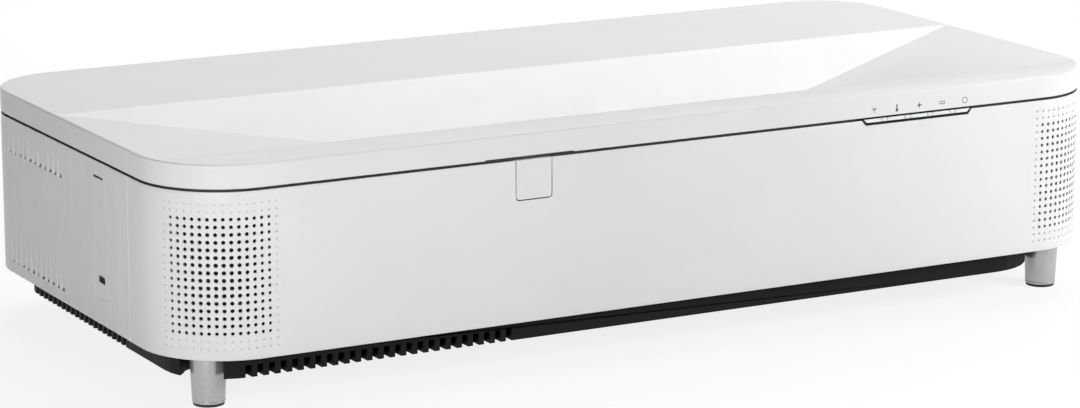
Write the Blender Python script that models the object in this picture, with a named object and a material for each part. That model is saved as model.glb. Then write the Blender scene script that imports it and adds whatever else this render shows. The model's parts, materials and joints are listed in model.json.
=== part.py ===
"""Home projector with an ultra-short throw, built as the pieces it comes apart into.

Metres, +Z up, front towards -Y, width along X. The feet stand on z = 0 and the
origin is under the middle of the cabinet. The lid has a wedge-shaped recess: light
leaves through the window on its front slope and passes over the rear edge.
"""
import math

import bmesh
import bpy
from mathutils import Euler, Matrix, Vector

# ---------------------------------------------------------------- driving sizes
WIDTH = 0.695
DEPTH = 0.333
HEIGHT = 0.155

WALL = 0.0025                # moulded walls of the covers and the tray
GAP = 0.0003                 # between pieces that touch
FRONT_RADIUS = 0.0564        # cabinet corners, seen from above
REAR_RADIUS = 0.0516
CORNER_STEPS = 8

LID_HEIGHT = 0.0153
SEAM = 0.0017                # shadow gap between lid and covers
BASE_HEIGHT = 0.0132         # dark tray seen below the covers
FOOT_HEIGHT = 0.0196         # ground to the tray

# Recess in the lid, measured from the cabinet's outer faces
FRONT_STRIP = 0.034
REAR_STRIP = 0.140
VALLEY_FROM_FRONT = 0.1045
VALLEY_PAST_WINDOW = 0.0148  # each end of the valley, beyond the window
VALLEY_DEPTH = 0.0333
LID_SKIN = 0.0025
NOTCH_LEFT = -0.138          # finger notch in the lid's lower edge
NOTCH_RIGHT = -0.074
NOTCH_HEIGHT = 0.0008

# Lid posts and the screws that hold them
POST_RADIUS = 0.0055
FRONT_POST_FROM_SIDE = 0.1325
FRONT_POST_FROM_FRONT = 0.0275
REAR_POST_FROM_SIDE = 0.062
REAR_POST_FROM_REAR = 0.0185
SCREW_RADIUS = 0.0015
SCREW_HEAD_RADIUS = 0.003
SCREW_HEAD_HEIGHT = 0.0021
SCREW_LENGTH = 0.014
SCREW_DRIVE_RADIUS = 0.0012

# Dark frame behind the shadow gap
FRAME_THICKNESS = 0.0025
FRAME_BELOW_SEAM = 0.007
FRAME_ABOVE_SEAM = 0.0063

# Covers
SPLIT_FROM_FRONT = 0.0745    # vertical joint between front shell and side covers
COVER_REAR_REACH = 0.0575    # how far the side covers wrap round the back
PART_GAP = 0.0004
LOUVRE_PITCH = 0.0089
LOUVRE_WIDTH = 0.0052
LOUVRE_FROM_REAR = 0.0545
LOUVRES_FROM_SPLIT = 0.1095  # they fill the cover from its rear up to here
UPPER_LOUVRE_TOP = 0.006     # below the top of the covers
UPPER_LOUVRE_HEIGHT = 0.017
LOWER_LOUVRE_BOTTOM = 0.0072
LOWER_LOUVRE_HEIGHT = 0.029
TAB_REACH = 0.007            # tabs of the side cover that lie on the tray
TAB_WIDTH = 0.012
TAB_HEIGHT = 0.0026
LATCH_FROM_SPLIT = 0.0394    # slot of the cover's latch
LATCH_WIDTH = 0.0166
LATCH_DROP = 0.010           # below the top of the covers
LATCH_SLOT = 0.0014
LATCH_HEIGHT = 0.0095
LATCH_DEPTH = 0.006
LOCK_FROM_SPLIT = 0.0395     # slot for a cable lock
LOCK_WIDTH = 0.0115
LOCK_HEIGHT = 0.0045
LOCK_RISE = 0.0273           # above the bottom of the covers

# Front shell
RECEIVER_LEFT = -0.1165
RECEIVER_WIDTH = 0.0265
RECEIVER_HEIGHT = 0.0262
TAB_TOP_LEFT = 0.142         # indicator tab under the lid's lower edge
TAB_TOP_RIGHT = 0.2325
TAB_SLANT = 0.0042
TAB_DROP = 0.0050            # below the lid's lower edge
TAB_RIM = 0.0012

# Base tray, measured inwards from the cabinet's outer faces
BASE_INSET_FRONT = 0.0085
BASE_INSET_REAR = 0.0315
BASE_INSET_LEFT = 0.0115
BASE_INSET_RIGHT = 0.0385
BASE_CORNER_LEFT = 0.0164    # tray corners, tighter than the cabinet's front corners by this
BASE_CORNER_RIGHT = 0.0094
SLOT_PITCH = 0.00785         # air slots along the lower edge
SLOT_WIDTH = 0.0042
SLOT_DEPTH = 0.0075
SLOT_HEIGHT = 0.0078
FRONT_SLOTS = 24
FRONT_SLOTS_FROM_SIDE = 0.0480
SIDE_SLOTS = 20
SIDE_SLOTS_FROM_REAR = 0.0690

# Feet
FOOT_FROM_SIDE = 0.0325
FOOT_FROM_FRONT = 0.0301
FOOT_TOP_RADIUS = 0.0116
FOOT_BOTTOM_RADIUS = 0.0103
FOOT_PAD_RADIUS = 0.0098
FOOT_PAD_HEIGHT = 0.0015
FOOT_POCKET_RADIUS = 0.0150
POCKET_MOUTH_INSET = 0.00075  # mouth of the left pocket, narrower than the pocket
FOOT_CHAMFER = 0.0008
STUD_RADIUS = 0.0040
BOSS_WALL = 0.0045
REAR_FOOT_FROM_SIDE = 0.0775
REAR_FOOT_FROM_REAR = 0.0465
REAR_FOOT_RADIUS = 0.012
REAR_FOOT_CHAMFER = 0.001

# Speakers, one behind each front corner
SPEAKER_RADIUS = 0.030
SPEAKER_DEPTH = 0.030
SPEAKER_SET_BACK = 0.0159    # from the inner face of the corner to the flange
SPEAKER_FLANGE = 0.003
CONE_RADIUS = 0.025
CONE_DEPTH = 0.013
CONE_SHEET = 0.0012
CONE_TRAVEL = 0.002
CLOTH_THICKNESS = 0.0008

# Fans
FAN_SIZE = 0.080
FAN_THICKNESS = 0.025
FAN_RIM = 0.0017             # thinnest part of the frame round the bore
FAN_TIP_CLEARANCE = 0.0011
FAN_HUB_RADIUS = 0.017
FAN_BLADES = 7
BLADE_TWIST = 32             # degrees, from hub side to open side
BLADE_ROOT_START = 24        # degrees after the start of the blade's share of the circle
BLADE_TIP_START = 4
BLADE_TIP_END = 28
ROTOR_SET_BACK = 0.002       # below the frame's open face
FAN_STRUT_ANGLE = 12         # degrees that each strut takes of the circle
FAN_STRUT_DEPTH = 0.003
FAN_STEPS = 24
EXHAUST_FAN_FROM_SIDE = 0.0105
EXHAUST_FAN_FROM_REAR = 0.0295
FAN_SPACING = 0.002
INTAKE_FAN_BEHIND_FILTER = 0.0097
INTAKE_FAN_FRONT = -0.020

# Air filter carried by the left cover
FILTER_DEPTH = 0.020
FILTER_BORDER = 0.006
FILTER_FRONT_FROM_SPLIT = 0.062
FILTER_REAR_FROM_REAR = 0.0585
FILTER_RISE = 0.0072         # above the covers' lower edge
FILTER_DROP = 0.0100         # below their upper edge
PLEATS = 12
PLEAT_SHEET = 0.0015

# Optics, in line from the mirror at the front to the engine
LENS_BORE = 0.0215
LENS_BARREL_RADIUS = 0.0255
LENS_LENGTH = 0.088
LENS_FROM_FRONT = 0.0715
RING_SEAT_RADIUS = 0.0237
RING_SEAT_FROM_TIP = 0.034
RING_WIDTH = 0.010
RING_PITCH_RADIUS = 0.030
RING_TEETH = 45
PINION_TEETH = 9
TOOTH_HEIGHT = 0.0022
TOOTH_ROOT_SHARE = 0.26      # half a tooth at its root, as a share of the pitch
TOOTH_TIP_SHARE = 0.143
BACKLASH = 0.0002
PINION_ANGLE = -30.0         # degrees round the lens, from +X
CELL_LENGTH = 0.016
CELL_FROM_TIP = 0.030
CELL_BORE = 0.013
FRONT_LENS_RADIUS = 0.0212
FRONT_LENS_THICKNESS = 0.009
MOTOR_RADIUS = 0.0075
MOTOR_LENGTH = 0.020
LENS_PLATE_THICKNESS = 0.004
LENS_PLATE_LEFT = -0.034
LENS_PLATE_RIGHT = 0.040
MIRROR_WIDTH = 0.150
MIRROR_HEIGHT = 0.060
MIRROR_THICKNESS = 0.004
MIRROR_SAG = 0.009
MIRROR_FROM_FRONT = 0.0265
MIRROR_RISE = 0.010          # above the lens axis
MIRROR_LEAN = 25.0           # degrees
HOLDER_WIDTH = 0.105
HOLDER_RISE = 0.018          # above the mirror's middle, along its back
WINDOW_WIDTH = 0.196
WINDOW_HEIGHT = 0.056
BEZEL_RIM = 0.0055
BEZEL_DEPTH = 0.0045
GLASS_THICKNESS = 0.0022
GLASS_BELOW_RIM = 0.0006

# Light source and cooling
ENGINE_LEFT = -0.060
ENGINE_RIGHT = 0.055
ENGINE_FROM_REAR = 0.0837
ENGINE_FROM_TOP = 0.045
ENGINE_STEP = 0.012          # the housing's upper block is smaller all round
WHEEL_RADIUS = 0.024
WHEEL_THICKNESS = 0.0012
WHEEL_HUB_RADIUS = 0.008
WHEEL_CLEARANCE = 0.004      # engine wall to the wheel
WHEEL_MOTOR_RADIUS = 0.011
WHEEL_MOTOR_LENGTH = 0.009
LASER_LENGTH = 0.070
LASER_DEPTH = 0.064
LASER_HEIGHT = 0.055
PIPE_RADIUS = 0.0037
PIPE_HEIGHT = 0.0215         # above the tray floor
PIPE_SPACING = 0.030
SINK_FROM_LASER = 0.015
SINK_FROM_FAN = 0.012
SINK_FROM_REAR = 0.0772
SINK_BASE = 0.010
SINK_FINS = 15
FIN_THICKNESS = 0.0018
SINK_FROM_TOP = 0.035
SINK_LEG = 0.010

# Boards and sockets
BOARD_THICKNESS = 0.0016
BOARD_HEIGHT = 0.0400        # underside above the tray floor's seat
BOARD_FROM_FAN = 0.012
BOARD_FROM_ENGINE = 0.025
BOARD_FRONT_FROM_FRONT = 0.0665
SUPPORT_RADIUS = 0.0035
SUPPORT_INSET = 0.008
BAY_LEFT = -0.185
BAY_RIGHT = -0.075
BAY_DEPTH = 0.024
BAY_BOTTOM_BELOW_BOARD = 0.0060
BAY_HEIGHT = 0.040
BAY_WALL = 0.002
SOCKET_DEPTH = 0.0145
SOCKET_PROUD = 0.0008
SOCKET_SHELL = 0.0012
VIDEO_WIDTH = 0.0174
VIDEO_HEIGHT = 0.0080
DATA_WIDTH = 0.0154
DATA_HEIGHT = 0.0080
JACK_WIDTH = 0.0120
JACK_HEIGHT = 0.0100
JACK_BORE = 0.0018
SOCKET_PITCH = 0.025
FIRST_SOCKET_FROM_BAY = 0.020
INLET_X = 0.150
INLET_WIDTH = 0.030
INLET_HEIGHT = 0.024
INLET_SHELL = 0.0032
INLET_DEPTH = 0.020
INLET_CAVITY = 0.015
SUPPLY_WIDTH = 0.160
SUPPLY_FROM_SIDE = 0.0875
SUPPLY_FROM_FRONT = 0.0485
SUPPLY_REAR = -0.020
SUPPLY_HEIGHT = 0.045
CAPACITOR_RADIUS = 0.011
CAPACITOR_SHARES = ((0.16, 0.72), (0.34, 0.72))
# Blocks on the boards: place as shares of the width and length, then size along X and Y.
# The fifth value is a chip's height, and a supply block's share of the supply's height.
BOARD_CHIPS = ((0.30, 0.35, 0.038, 0.038, 0.008), (0.70, 0.30, 0.022, 0.022, 0.003),
               (0.70, 0.55, 0.018, 0.030, 0.0025), (0.28, 0.68, 0.030, 0.018, 0.004))
SUPPLY_BLOCKS = ((0.22, 0.30, 0.036, 0.030, 0.8), (0.60, 0.25, 0.050, 0.006, 1.0),
                 (0.60, 0.70, 0.050, 0.006, 1.0), (0.85, 0.48, 0.018, 0.024, 0.6))

# Power key in the right cover
KEY_RADIUS = 0.006
KEY_FLANGE = 0.0015
KEY_FROM_SPLIT = 0.032
KEY_BELOW_TOP = 0.028
KEY_RECESS = 0.0002

# ---------------------------------------------------------------- derived places
HALF_WIDTH = WIDTH / 2
HALF_DEPTH = DEPTH / 2
LID_BOTTOM = HEIGHT - LID_HEIGHT
SHELL_TOP = LID_BOTTOM - SEAM
SHELL_BOTTOM = FOOT_HEIGHT + BASE_HEIGHT
FLOOR_TOP = FOOT_HEIGHT + WALL
FLOOR_SEAT = FLOOR_TOP + GAP
PLATE_BOTTOM = SHELL_BOTTOM + GAP
PLATE_TOP = PLATE_BOTTOM + WALL
PLATE_SEAT = PLATE_TOP + GAP
INNER_SIDE = HALF_WIDTH - WALL
INNER_FRONT = -HALF_DEPTH + WALL
INNER_REAR = HALF_DEPTH - WALL

RECESS_FRONT = -HALF_DEPTH + FRONT_STRIP
RECESS_REAR = HALF_DEPTH - REAR_STRIP
VALLEY_Y = -HALF_DEPTH + VALLEY_FROM_FRONT
VALLEY_HALF = WINDOW_WIDTH / 2 + VALLEY_PAST_WINDOW
VALLEY_Z = HEIGHT - VALLEY_DEPTH
SPLIT_Y = -HALF_DEPTH + SPLIT_FROM_FRONT
LOUVRE_ROOM = HALF_DEPTH - LOUVRE_FROM_REAR - LOUVRE_WIDTH - SPLIT_Y - LOUVRES_FROM_SPLIT
LOUVRE_COUNT = 1 + int(LOUVRE_ROOM / LOUVRE_PITCH)

POSTS = [(side * (HALF_WIDTH - FRONT_POST_FROM_SIDE), -HALF_DEPTH + FRONT_POST_FROM_FRONT)
         for side in (-1, 1)]
POSTS += [(side * (HALF_WIDTH - REAR_POST_FROM_SIDE), HALF_DEPTH - REAR_POST_FROM_REAR)
          for side in (-1, 1)]
FOOT_X = HALF_WIDTH - FOOT_FROM_SIDE
FOOT_Y = -HALF_DEPTH + FOOT_FROM_FRONT

GRILLE_CENTRE_Z = (SHELL_TOP + SHELL_BOTTOM) / 2
SPEAKER_DISTANCE = FRONT_RADIUS - WALL - SPEAKER_SET_BACK
BOSS_TOP = GRILLE_CENTRE_Z - SPEAKER_RADIUS - GAP
BOSS_RADIUS = STUD_RADIUS + GAP + BOSS_WALL

FAN_BORE_RADIUS = FAN_SIZE / 2 - FAN_RIM
FAN_TIP_RADIUS = FAN_BORE_RADIUS - FAN_TIP_CLEARANCE

LENS_Z = (FLOOR_TOP + VALLEY_Z - LID_SKIN) / 2
LENS_TIP = INNER_FRONT + LENS_FROM_FRONT
LENS_REAR = LENS_TIP + LENS_LENGTH
LENS_PLATE_Y = LENS_TIP + RING_SEAT_FROM_TIP + RING_WIDTH + 2 * GAP
ENGINE_FRONT = LENS_REAR + GAP
ENGINE_LENGTH = HALF_DEPTH - ENGINE_FROM_REAR - ENGINE_FRONT
ENGINE_TOP = HEIGHT - ENGINE_FROM_TOP
PINION_DISTANCE = RING_PITCH_RADIUS * (1 + PINION_TEETH / RING_TEETH) + BACKLASH
PINION_X = PINION_DISTANCE * math.cos(math.radians(PINION_ANGLE))
PINION_Z = LENS_Z + PINION_DISTANCE * math.sin(math.radians(PINION_ANGLE))

WHEEL_X = ENGINE_RIGHT + WHEEL_CLEARANCE
WHEEL_Y = ENGINE_FRONT + ENGINE_LENGTH / 2
WHEEL_Z = FLOOR_SEAT + LASER_HEIGHT - WHEEL_RADIUS
LASER_LEFT = WHEEL_X + WHEEL_THICKNESS + WHEEL_MOTOR_LENGTH + 2 * GAP
LASER_RIGHT = LASER_LEFT + LASER_LENGTH
EXHAUST_X = HALF_WIDTH - EXHAUST_FAN_FROM_SIDE - FAN_THICKNESS
REAR_FAN_FRONT = HALF_DEPTH - EXHAUST_FAN_FROM_REAR - FAN_SIZE
FRONT_FAN_FRONT = REAR_FAN_FRONT - FAN_SPACING - FAN_SIZE
SINK_LEFT = LASER_RIGHT + SINK_FROM_LASER
SINK_RIGHT = EXHAUST_X - SINK_FROM_FAN
SINK_TOP = HEIGHT - SINK_FROM_TOP
SINK_DEPTH = 2 * (HALF_DEPTH - SINK_FROM_REAR - WHEEL_Y)
PIPE_Z = FLOOR_SEAT + PIPE_HEIGHT

FILTER_X = -INNER_SIDE + GAP
FILTER_FRONT = SPLIT_Y + FILTER_FRONT_FROM_SPLIT
FILTER_REAR = HALF_DEPTH - FILTER_REAR_FROM_REAR
FILTER_BOTTOM = SHELL_BOTTOM + FILTER_RISE
FILTER_TOP = SHELL_TOP - FILTER_DROP
INTAKE_X = FILTER_X + FILTER_DEPTH + INTAKE_FAN_BEHIND_FILTER

BOARD_LEFT = INTAKE_X + FAN_THICKNESS + BOARD_FROM_FAN
BOARD_RIGHT = ENGINE_LEFT - BOARD_FROM_ENGINE
BOARD_FRONT = -HALF_DEPTH + BOARD_FRONT_FROM_FRONT
BAY_FACE = HALF_DEPTH - BAY_DEPTH
BOARD_REAR = BAY_FACE - BAY_WALL - GAP
BOARD_BOTTOM = FLOOR_SEAT + BOARD_HEIGHT
SOCKET_BOTTOM = BOARD_BOTTOM + BOARD_THICKNESS + GAP
BAY_BOTTOM = SOCKET_BOTTOM - BAY_BOTTOM_BELOW_BOARD
SUPPLY_RIGHT = HALF_WIDTH - SUPPLY_FROM_SIDE
SUPPLY_LEFT = SUPPLY_RIGHT - SUPPLY_WIDTH
INLET_Z = SOCKET_BOTTOM + INLET_HEIGHT / 2

AXIS_X = Euler((0, math.radians(90), 0))
AXIS_Y = Euler((math.radians(-90), 0, 0))
UPRIGHT = Euler((0, 0, 0))


# ---------------------------------------------------------------- shape helpers
def arc(centre, radius, start, end, steps):
    """Points of a circular arc in the plane, ends included, angles in degrees."""
    points = []
    for step in range(steps + 1):
        angle = math.radians(start + (end - start) * step / steps)
        points.append((centre[0] + radius * math.cos(angle), centre[1] + radius * math.sin(angle)))
    return points


def circle(centre, radius, steps):
    """Points of a whole circle, each once."""
    return arc(centre, radius, 0, 360 - 360 / steps, steps - 1)


def rounded_outline(left, right, front, rear, radii, steps=CORNER_STEPS):
    """Rounded rectangle, counter-clockwise; radii are rear right, rear left, front left, front right."""
    rear_right, rear_left, front_left, front_right = radii
    points = arc((right - rear_right, rear - rear_right), rear_right, 0, 90, steps)
    points += arc((left + rear_left, rear - rear_left), rear_left, 90, 180, steps)
    points += arc((left + front_left, front + front_left), front_left, 180, 270, steps)
    points += arc((right - front_right, front + front_right), front_right, 270, 360, steps)
    return points


def cabinet_outline(inset):
    """The cabinet's outline seen from above, moved inwards by inset."""
    rear = REAR_RADIUS - inset
    front = FRONT_RADIUS - inset
    return rounded_outline(-HALF_WIDTH + inset, HALF_WIDTH - inset, -HALF_DEPTH + inset,
                           HALF_DEPTH - inset, (rear, rear, front, front))


def base_outline(inset):
    """The dark tray's outline; its right side stands further in than its left."""
    left = FRONT_RADIUS - BASE_CORNER_LEFT - inset
    right = FRONT_RADIUS - BASE_CORNER_RIGHT - inset
    return rounded_outline(-HALF_WIDTH + BASE_INSET_LEFT + inset, HALF_WIDTH - BASE_INSET_RIGHT - inset,
                           -HALF_DEPTH + BASE_INSET_FRONT + inset, HALF_DEPTH - BASE_INSET_REAR - inset,
                           (right, left, left, right))


def with_crossings(outline, level):
    """The outline with a point added wherever it crosses y = level."""
    points = []
    for index, (x, y) in enumerate(outline):
        next_x, next_y = outline[(index + 1) % len(outline)]
        points.append((x, y))
        if (y - level) * (next_y - level) < 0:
            share = (level - y) / (next_y - y)
            points.append((x + share * (next_x - x), level))
    return points


def add_prism(bm, outline, bottom, top, twist=0.0, layers=1):
    """A closed prism on a counter-clockwise outline; twist turns it as it rises."""
    rings = []
    for layer in range(layers + 1):
        share = layer / layers
        turn = Matrix.Rotation(twist * share, 3, 'Z')
        height = bottom + (top - bottom) * share
        rings.append([bm.verts.new(turn @ Vector((x, y, height))) for x, y in outline])
    bm.faces.new(list(reversed(rings[0])))
    bm.faces.new(rings[-1])
    for lower, upper in zip(rings, rings[1:]):
        for index in range(len(outline)):
            following = (index + 1) % len(outline)
            bm.faces.new((lower[index], lower[following], upper[following], upper[index]))


def add_box(bm, low, high):
    """A closed box between two corners."""
    outline = [(low[0], low[1]), (high[0], low[1]), (high[0], high[1]), (low[0], high[1])]
    add_prism(bm, outline, low[2], high[2])


def add_turned(bm, profile, steps):
    """A body turned about Z from (radius, height) points; it closes where the radius is 0."""
    rings = []
    for radius, height in profile:
        if radius == 0:
            rings.append([bm.verts.new((0, 0, height))])
        else:
            rings.append([bm.verts.new((x, y, height)) for x, y in circle((0, 0), radius, steps)])
    pairs = list(zip(rings, rings[1:]))
    if profile[0][0] > 0:
        pairs.append((rings[-1], rings[0]))
    for one, other in pairs:
        if len(one) == len(other) == 1:
            continue
        for index in range(steps):
            following = (index + 1) % steps
            corners = [one[index % len(one)], one[following % len(one)],
                       other[following % len(other)], other[index % len(other)]]
            bm.faces.new(list(dict.fromkeys(corners)))


def box_shape(*corner_pairs):
    """One or more separate boxes."""
    bm = bmesh.new()
    for low, high in corner_pairs:
        add_box(bm, low, high)
    return bm


def prism_shape(outline, bottom, top, twist=0.0, layers=1):
    bm = bmesh.new()
    add_prism(bm, outline, bottom, top, twist, layers)
    return bm


def turned_shape(profile, steps=24):
    bm = bmesh.new()
    add_turned(bm, profile, steps)
    return bm


def cylinder_shape(places, radius, bottom, top, steps=20):
    """Upright cylinders of one size at several (x, y) places."""
    bm = bmesh.new()
    for place in places:
        add_prism(bm, circle(place, radius, steps), bottom, top)
    return bm


def moved(bm, matrix):
    bm.transform(matrix)
    return bm


def along_x(bm):
    """Turns a shape drawn in X-Y and raised along Z so that it lies in Y-Z and runs along X."""
    return moved(bm, Matrix(((0, 0, 1, 0), (1, 0, 0, 0), (0, 1, 0, 0), (0, 0, 0, 1))))


def along_y(bm):
    """Turns a shape drawn in X-Y and raised along Z so that it lies in X-Z and runs along Y."""
    return moved(bm, Matrix(((1, 0, 0, 0), (0, 0, 1, 0), (0, 1, 0, 0), (0, 0, 0, 1))))


def mirrored(bm):
    """The same shape on the other side of the cabinet."""
    return moved(bm, Matrix.Diagonal((-1, 1, 1, 1)))


# ---------------------------------------------------------------- object helpers
def make_material(name, colour, roughness, metallic=0.0, transmission=0.0):
    material = bpy.data.materials.new(name)
    material.use_nodes = True
    shader = material.node_tree.nodes['Principled BSDF']
    shader.inputs['Base Color'].default_value = (*colour, 1.0)
    shader.inputs['Roughness'].default_value = roughness
    shader.inputs['Metallic'].default_value = metallic
    shader.inputs['Transmission Weight'].default_value = transmission
    return material


def make_object(name, bm, at, turn):
    bmesh.ops.recalc_face_normals(bm, faces=bm.faces)
    mesh = bpy.data.meshes.new(name)
    bm.to_mesh(mesh)
    bm.free()
    thing = bpy.data.objects.new(name, mesh)
    thing.location = at
    thing.rotation_euler = turn
    bpy.context.scene.collection.objects.link(thing)
    return thing


def piece(name, bm, material, at=(0, 0, 0), turn=UPRIGHT, smooth=False):
    """A sub-part; its mesh is drawn about its own origin and placed by location and rotation."""
    thing = make_object(name, bm, at, turn)
    thing.data.materials.append(material)
    if smooth:
        thing.data.shade_smooth()
        thing.data.set_sharp_from_angle(angle=math.radians(35))
    return thing


def reshape(target, operation, bm, at=(0, 0, 0), turn=UPRIGHT):
    """Adds or cuts a shape with a Boolean; the tool stays in the scene, hidden from renders."""
    tool = make_object(f'{target.name}_tool_{len(target.modifiers) + 1}', bm, at, turn)
    tool.hide_render = True
    tool.display_type = 'WIRE'
    modifier = target.modifiers.new(tool.name, 'BOOLEAN')
    modifier.operation = operation
    modifier.solver = 'EXACT'
    modifier.object = tool
    return tool


def cut(target, bm, at=(0, 0, 0), turn=UPRIGHT):
    return reshape(target, 'DIFFERENCE', bm, at, turn)


def join(target, bm, at=(0, 0, 0), turn=UPRIGHT):
    return reshape(target, 'UNION', bm, at, turn)


# ---------------------------------------------------------------- lid and frame
def slope_angle():
    """Tilt of the recess's front slope."""
    return math.atan2(VALLEY_DEPTH, VALLEY_Y - RECESS_FRONT)


def window_centre():
    return Vector((0, (VALLEY_Y + RECESS_FRONT) / 2, HEIGHT - VALLEY_DEPTH / 2))


def lid_skin(bm, rim, valley):
    """Strips, slopes and side facets between the rim's points and the valley's two ends."""
    left_end, right_end = valley
    rear = [vert for vert in rim if vert.co.y >= RECESS_REAR - GAP / 10]
    front = [vert for vert in rim if vert.co.y <= RECESS_FRONT + GAP / 10]
    bm.faces.new(rear)
    bm.faces.new(front)
    bm.faces.new((rear[-1], rear[0], right_end, left_end))
    bm.faces.new((front[-1], front[0], left_end, right_end))
    count = len(rim)
    for index, vert in enumerate(rim):
        following = rim[(index + 1) % count]
        if vert in rear and following in rear or vert in front and following in front:
            continue
        bm.faces.new((vert, following, left_end if vert.co.x < 0 else right_end))


def rim_points(inset):
    """Outline of the lid from where its right side meets the rear strip."""
    outline = with_crossings(with_crossings(cabinet_outline(inset), RECESS_FRONT), RECESS_REAR)
    start = next(index for index, (x, y) in enumerate(outline)
                 if x > 0 and abs(y - RECESS_REAR) < GAP / 10)
    return outline[start:] + outline[:start]


def lid_shape():
    bm = bmesh.new()
    outer = rim_points(0)
    inner = rim_points(WALL)
    outer_top = [bm.verts.new((x, y, HEIGHT)) for x, y in outer]
    outer_bottom = [bm.verts.new((x, y, LID_BOTTOM)) for x, y in outer]
    inner_bottom = [bm.verts.new((x, y, LID_BOTTOM)) for x, y in inner]
    inner_top = [bm.verts.new((x, y, HEIGHT - LID_SKIN)) for x, y in inner]
    rings = [outer_top, outer_bottom, inner_bottom, inner_top]
    for upper, lower in zip(rings, rings[1:]):
        for index in range(len(upper)):
            following = (index + 1) % len(upper)
            bm.faces.new((upper[index], upper[following], lower[following], lower[index]))
    for rim, height in ((outer_top, VALLEY_Z), (inner_top, VALLEY_Z - LID_SKIN)):
        valley = [bm.verts.new((side * VALLEY_HALF, VALLEY_Y, height)) for side in (-1, 1)]
        lid_skin(bm, rim, valley)
    return bm


def post_seat(place):
    """Height on which a lid post stands: the tray's floor inside it, its flange outside."""
    inside = place[1] < HALF_DEPTH - BASE_INSET_REAR
    return FLOOR_SEAT if inside else PLATE_SEAT


def build_lid(white):
    lid = piece('top_lid', lid_shape(), white)
    posts = bmesh.new()
    bores = bmesh.new()
    for place in POSTS:
        seat = post_seat(place)
        add_prism(posts, circle(place, POST_RADIUS, 20), seat, HEIGHT - LID_SKIN / 2)
        add_prism(bores, circle(place, SCREW_RADIUS + GAP, 12), seat - WALL, seat + SCREW_LENGTH)
    join(lid, posts)
    cut(lid, bores)
    opening = box_shape(((-WINDOW_WIDTH / 2, -WINDOW_HEIGHT / 2, -4 * LID_SKIN),
                         (WINDOW_WIDTH / 2, WINDOW_HEIGHT / 2, 4 * LID_SKIN)))
    cut(lid, opening, window_centre(), Euler((-slope_angle(), 0, 0)))
    cut(lid, box_shape(((NOTCH_LEFT, -HALF_DEPTH - WALL, LID_BOTTOM - WALL),
                        (NOTCH_RIGHT, -HALF_DEPTH + 2 * WALL, LID_BOTTOM + NOTCH_HEIGHT))))


def build_lid_frame(black):
    """Ring that centres the lid on the covers, darkens the shadow gap and clears the exhaust fans."""
    ring = piece('lid_frame', prism_shape(cabinet_outline(WALL + GAP), SHELL_TOP - FRAME_BELOW_SEAM,
                                          LID_BOTTOM + FRAME_ABOVE_SEAM), black)
    cut(ring, prism_shape(cabinet_outline(WALL + GAP + FRAME_THICKNESS), 0, HEIGHT))
    cut(ring, box_shape(((EXHAUST_X - GAP, FRONT_FAN_FRONT - GAP, PLATE_SEAT),
                         (EXHAUST_X + FAN_THICKNESS + GAP, REAR_FAN_FRONT + FAN_SIZE + GAP,
                          PLATE_SEAT + FAN_SIZE + GAP))))


def build_window(glass, black):
    tilt = Euler((-slope_angle(), 0, 0))
    half_width = WINDOW_WIDTH / 2 - GAP
    half_height = WINDOW_HEIGHT / 2 - GAP
    bezel = piece('window_bezel', box_shape(((-half_width, -half_height, -BEZEL_DEPTH),
                                             (half_width, half_height, 0))),
                  black, window_centre(), tilt)
    hole_width = half_width - BEZEL_RIM
    hole_height = half_height - BEZEL_RIM
    cut(bezel, box_shape(((-hole_width, -hole_height, -2 * BEZEL_DEPTH),
                          (hole_width, hole_height, BEZEL_DEPTH))), window_centre(), tilt)
    piece('projection_window',
          box_shape(((GAP - hole_width, GAP - hole_height, -GLASS_BELOW_RIM - GLASS_THICKNESS),
                     (hole_width - GAP, hole_height - GAP, -GLASS_BELOW_RIM))),
          glass, window_centre(), tilt)


# ---------------------------------------------------------------- covers
def wall_band(outer, inner):
    """Closed outline of a wall that follows an open path; inner is the same path, moved inwards."""
    return outer + list(reversed(inner))


def front_path(inset):
    x = HALF_WIDTH - inset
    y = -HALF_DEPTH + inset
    radius = FRONT_RADIUS - inset
    path = [(-x, SPLIT_Y)]
    path += arc((-x + radius, y + radius), radius, 180, 270, CORNER_STEPS)
    path += arc((x - radius, y + radius), radius, 270, 360, CORNER_STEPS)
    return path + [(x, SPLIT_Y)]


def side_path(inset):
    """Right side cover's wall, from the split to its rear end."""
    x = HALF_WIDTH - inset
    y = HALF_DEPTH - inset
    radius = REAR_RADIUS - inset
    path = [(x, SPLIT_Y + PART_GAP)]
    path += arc((x - radius, y - radius), radius, 0, 90, CORNER_STEPS)
    return path + [(HALF_WIDTH - COVER_REAR_REACH, y)]


def tab_outline(margin, bottom, top):
    """Indicator tab seen from the front, as (x, z): its slanted ends move apart as they rise."""
    points = []
    for z in (bottom, top):
        inwards = margin + TAB_SLANT * (LID_BOTTOM - z) / TAB_DROP
        points.append((TAB_TOP_LEFT + inwards, z))
        points.append((TAB_TOP_RIGHT - inwards, z))
    return [points[0], points[1], points[3], points[2]]


def build_front_shell(white):
    shell = piece('front_shell', prism_shape(wall_band(front_path(0), front_path(WALL)),
                                             SHELL_BOTTOM, SHELL_TOP), white)
    cut(shell, box_shape(((RECEIVER_LEFT, -HALF_DEPTH - WALL, SHELL_TOP - RECEIVER_HEIGHT),
                          (RECEIVER_LEFT + RECEIVER_WIDTH, INNER_FRONT + WALL, SHELL_TOP + WALL))))
    cut(shell, along_y(prism_shape(tab_outline(-GAP, LID_BOTTOM - TAB_DROP - GAP, LID_BOTTOM),
                                   -HALF_DEPTH - WALL, INNER_FRONT + WALL)))


def build_receiver_window(white):
    bm = box_shape(((RECEIVER_LEFT + GAP, -HALF_DEPTH, SHELL_TOP - RECEIVER_HEIGHT + GAP),
                    (RECEIVER_LEFT + RECEIVER_WIDTH - GAP, INNER_FRONT, SHELL_TOP)))
    piece('receiver_window', bm, white)


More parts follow.
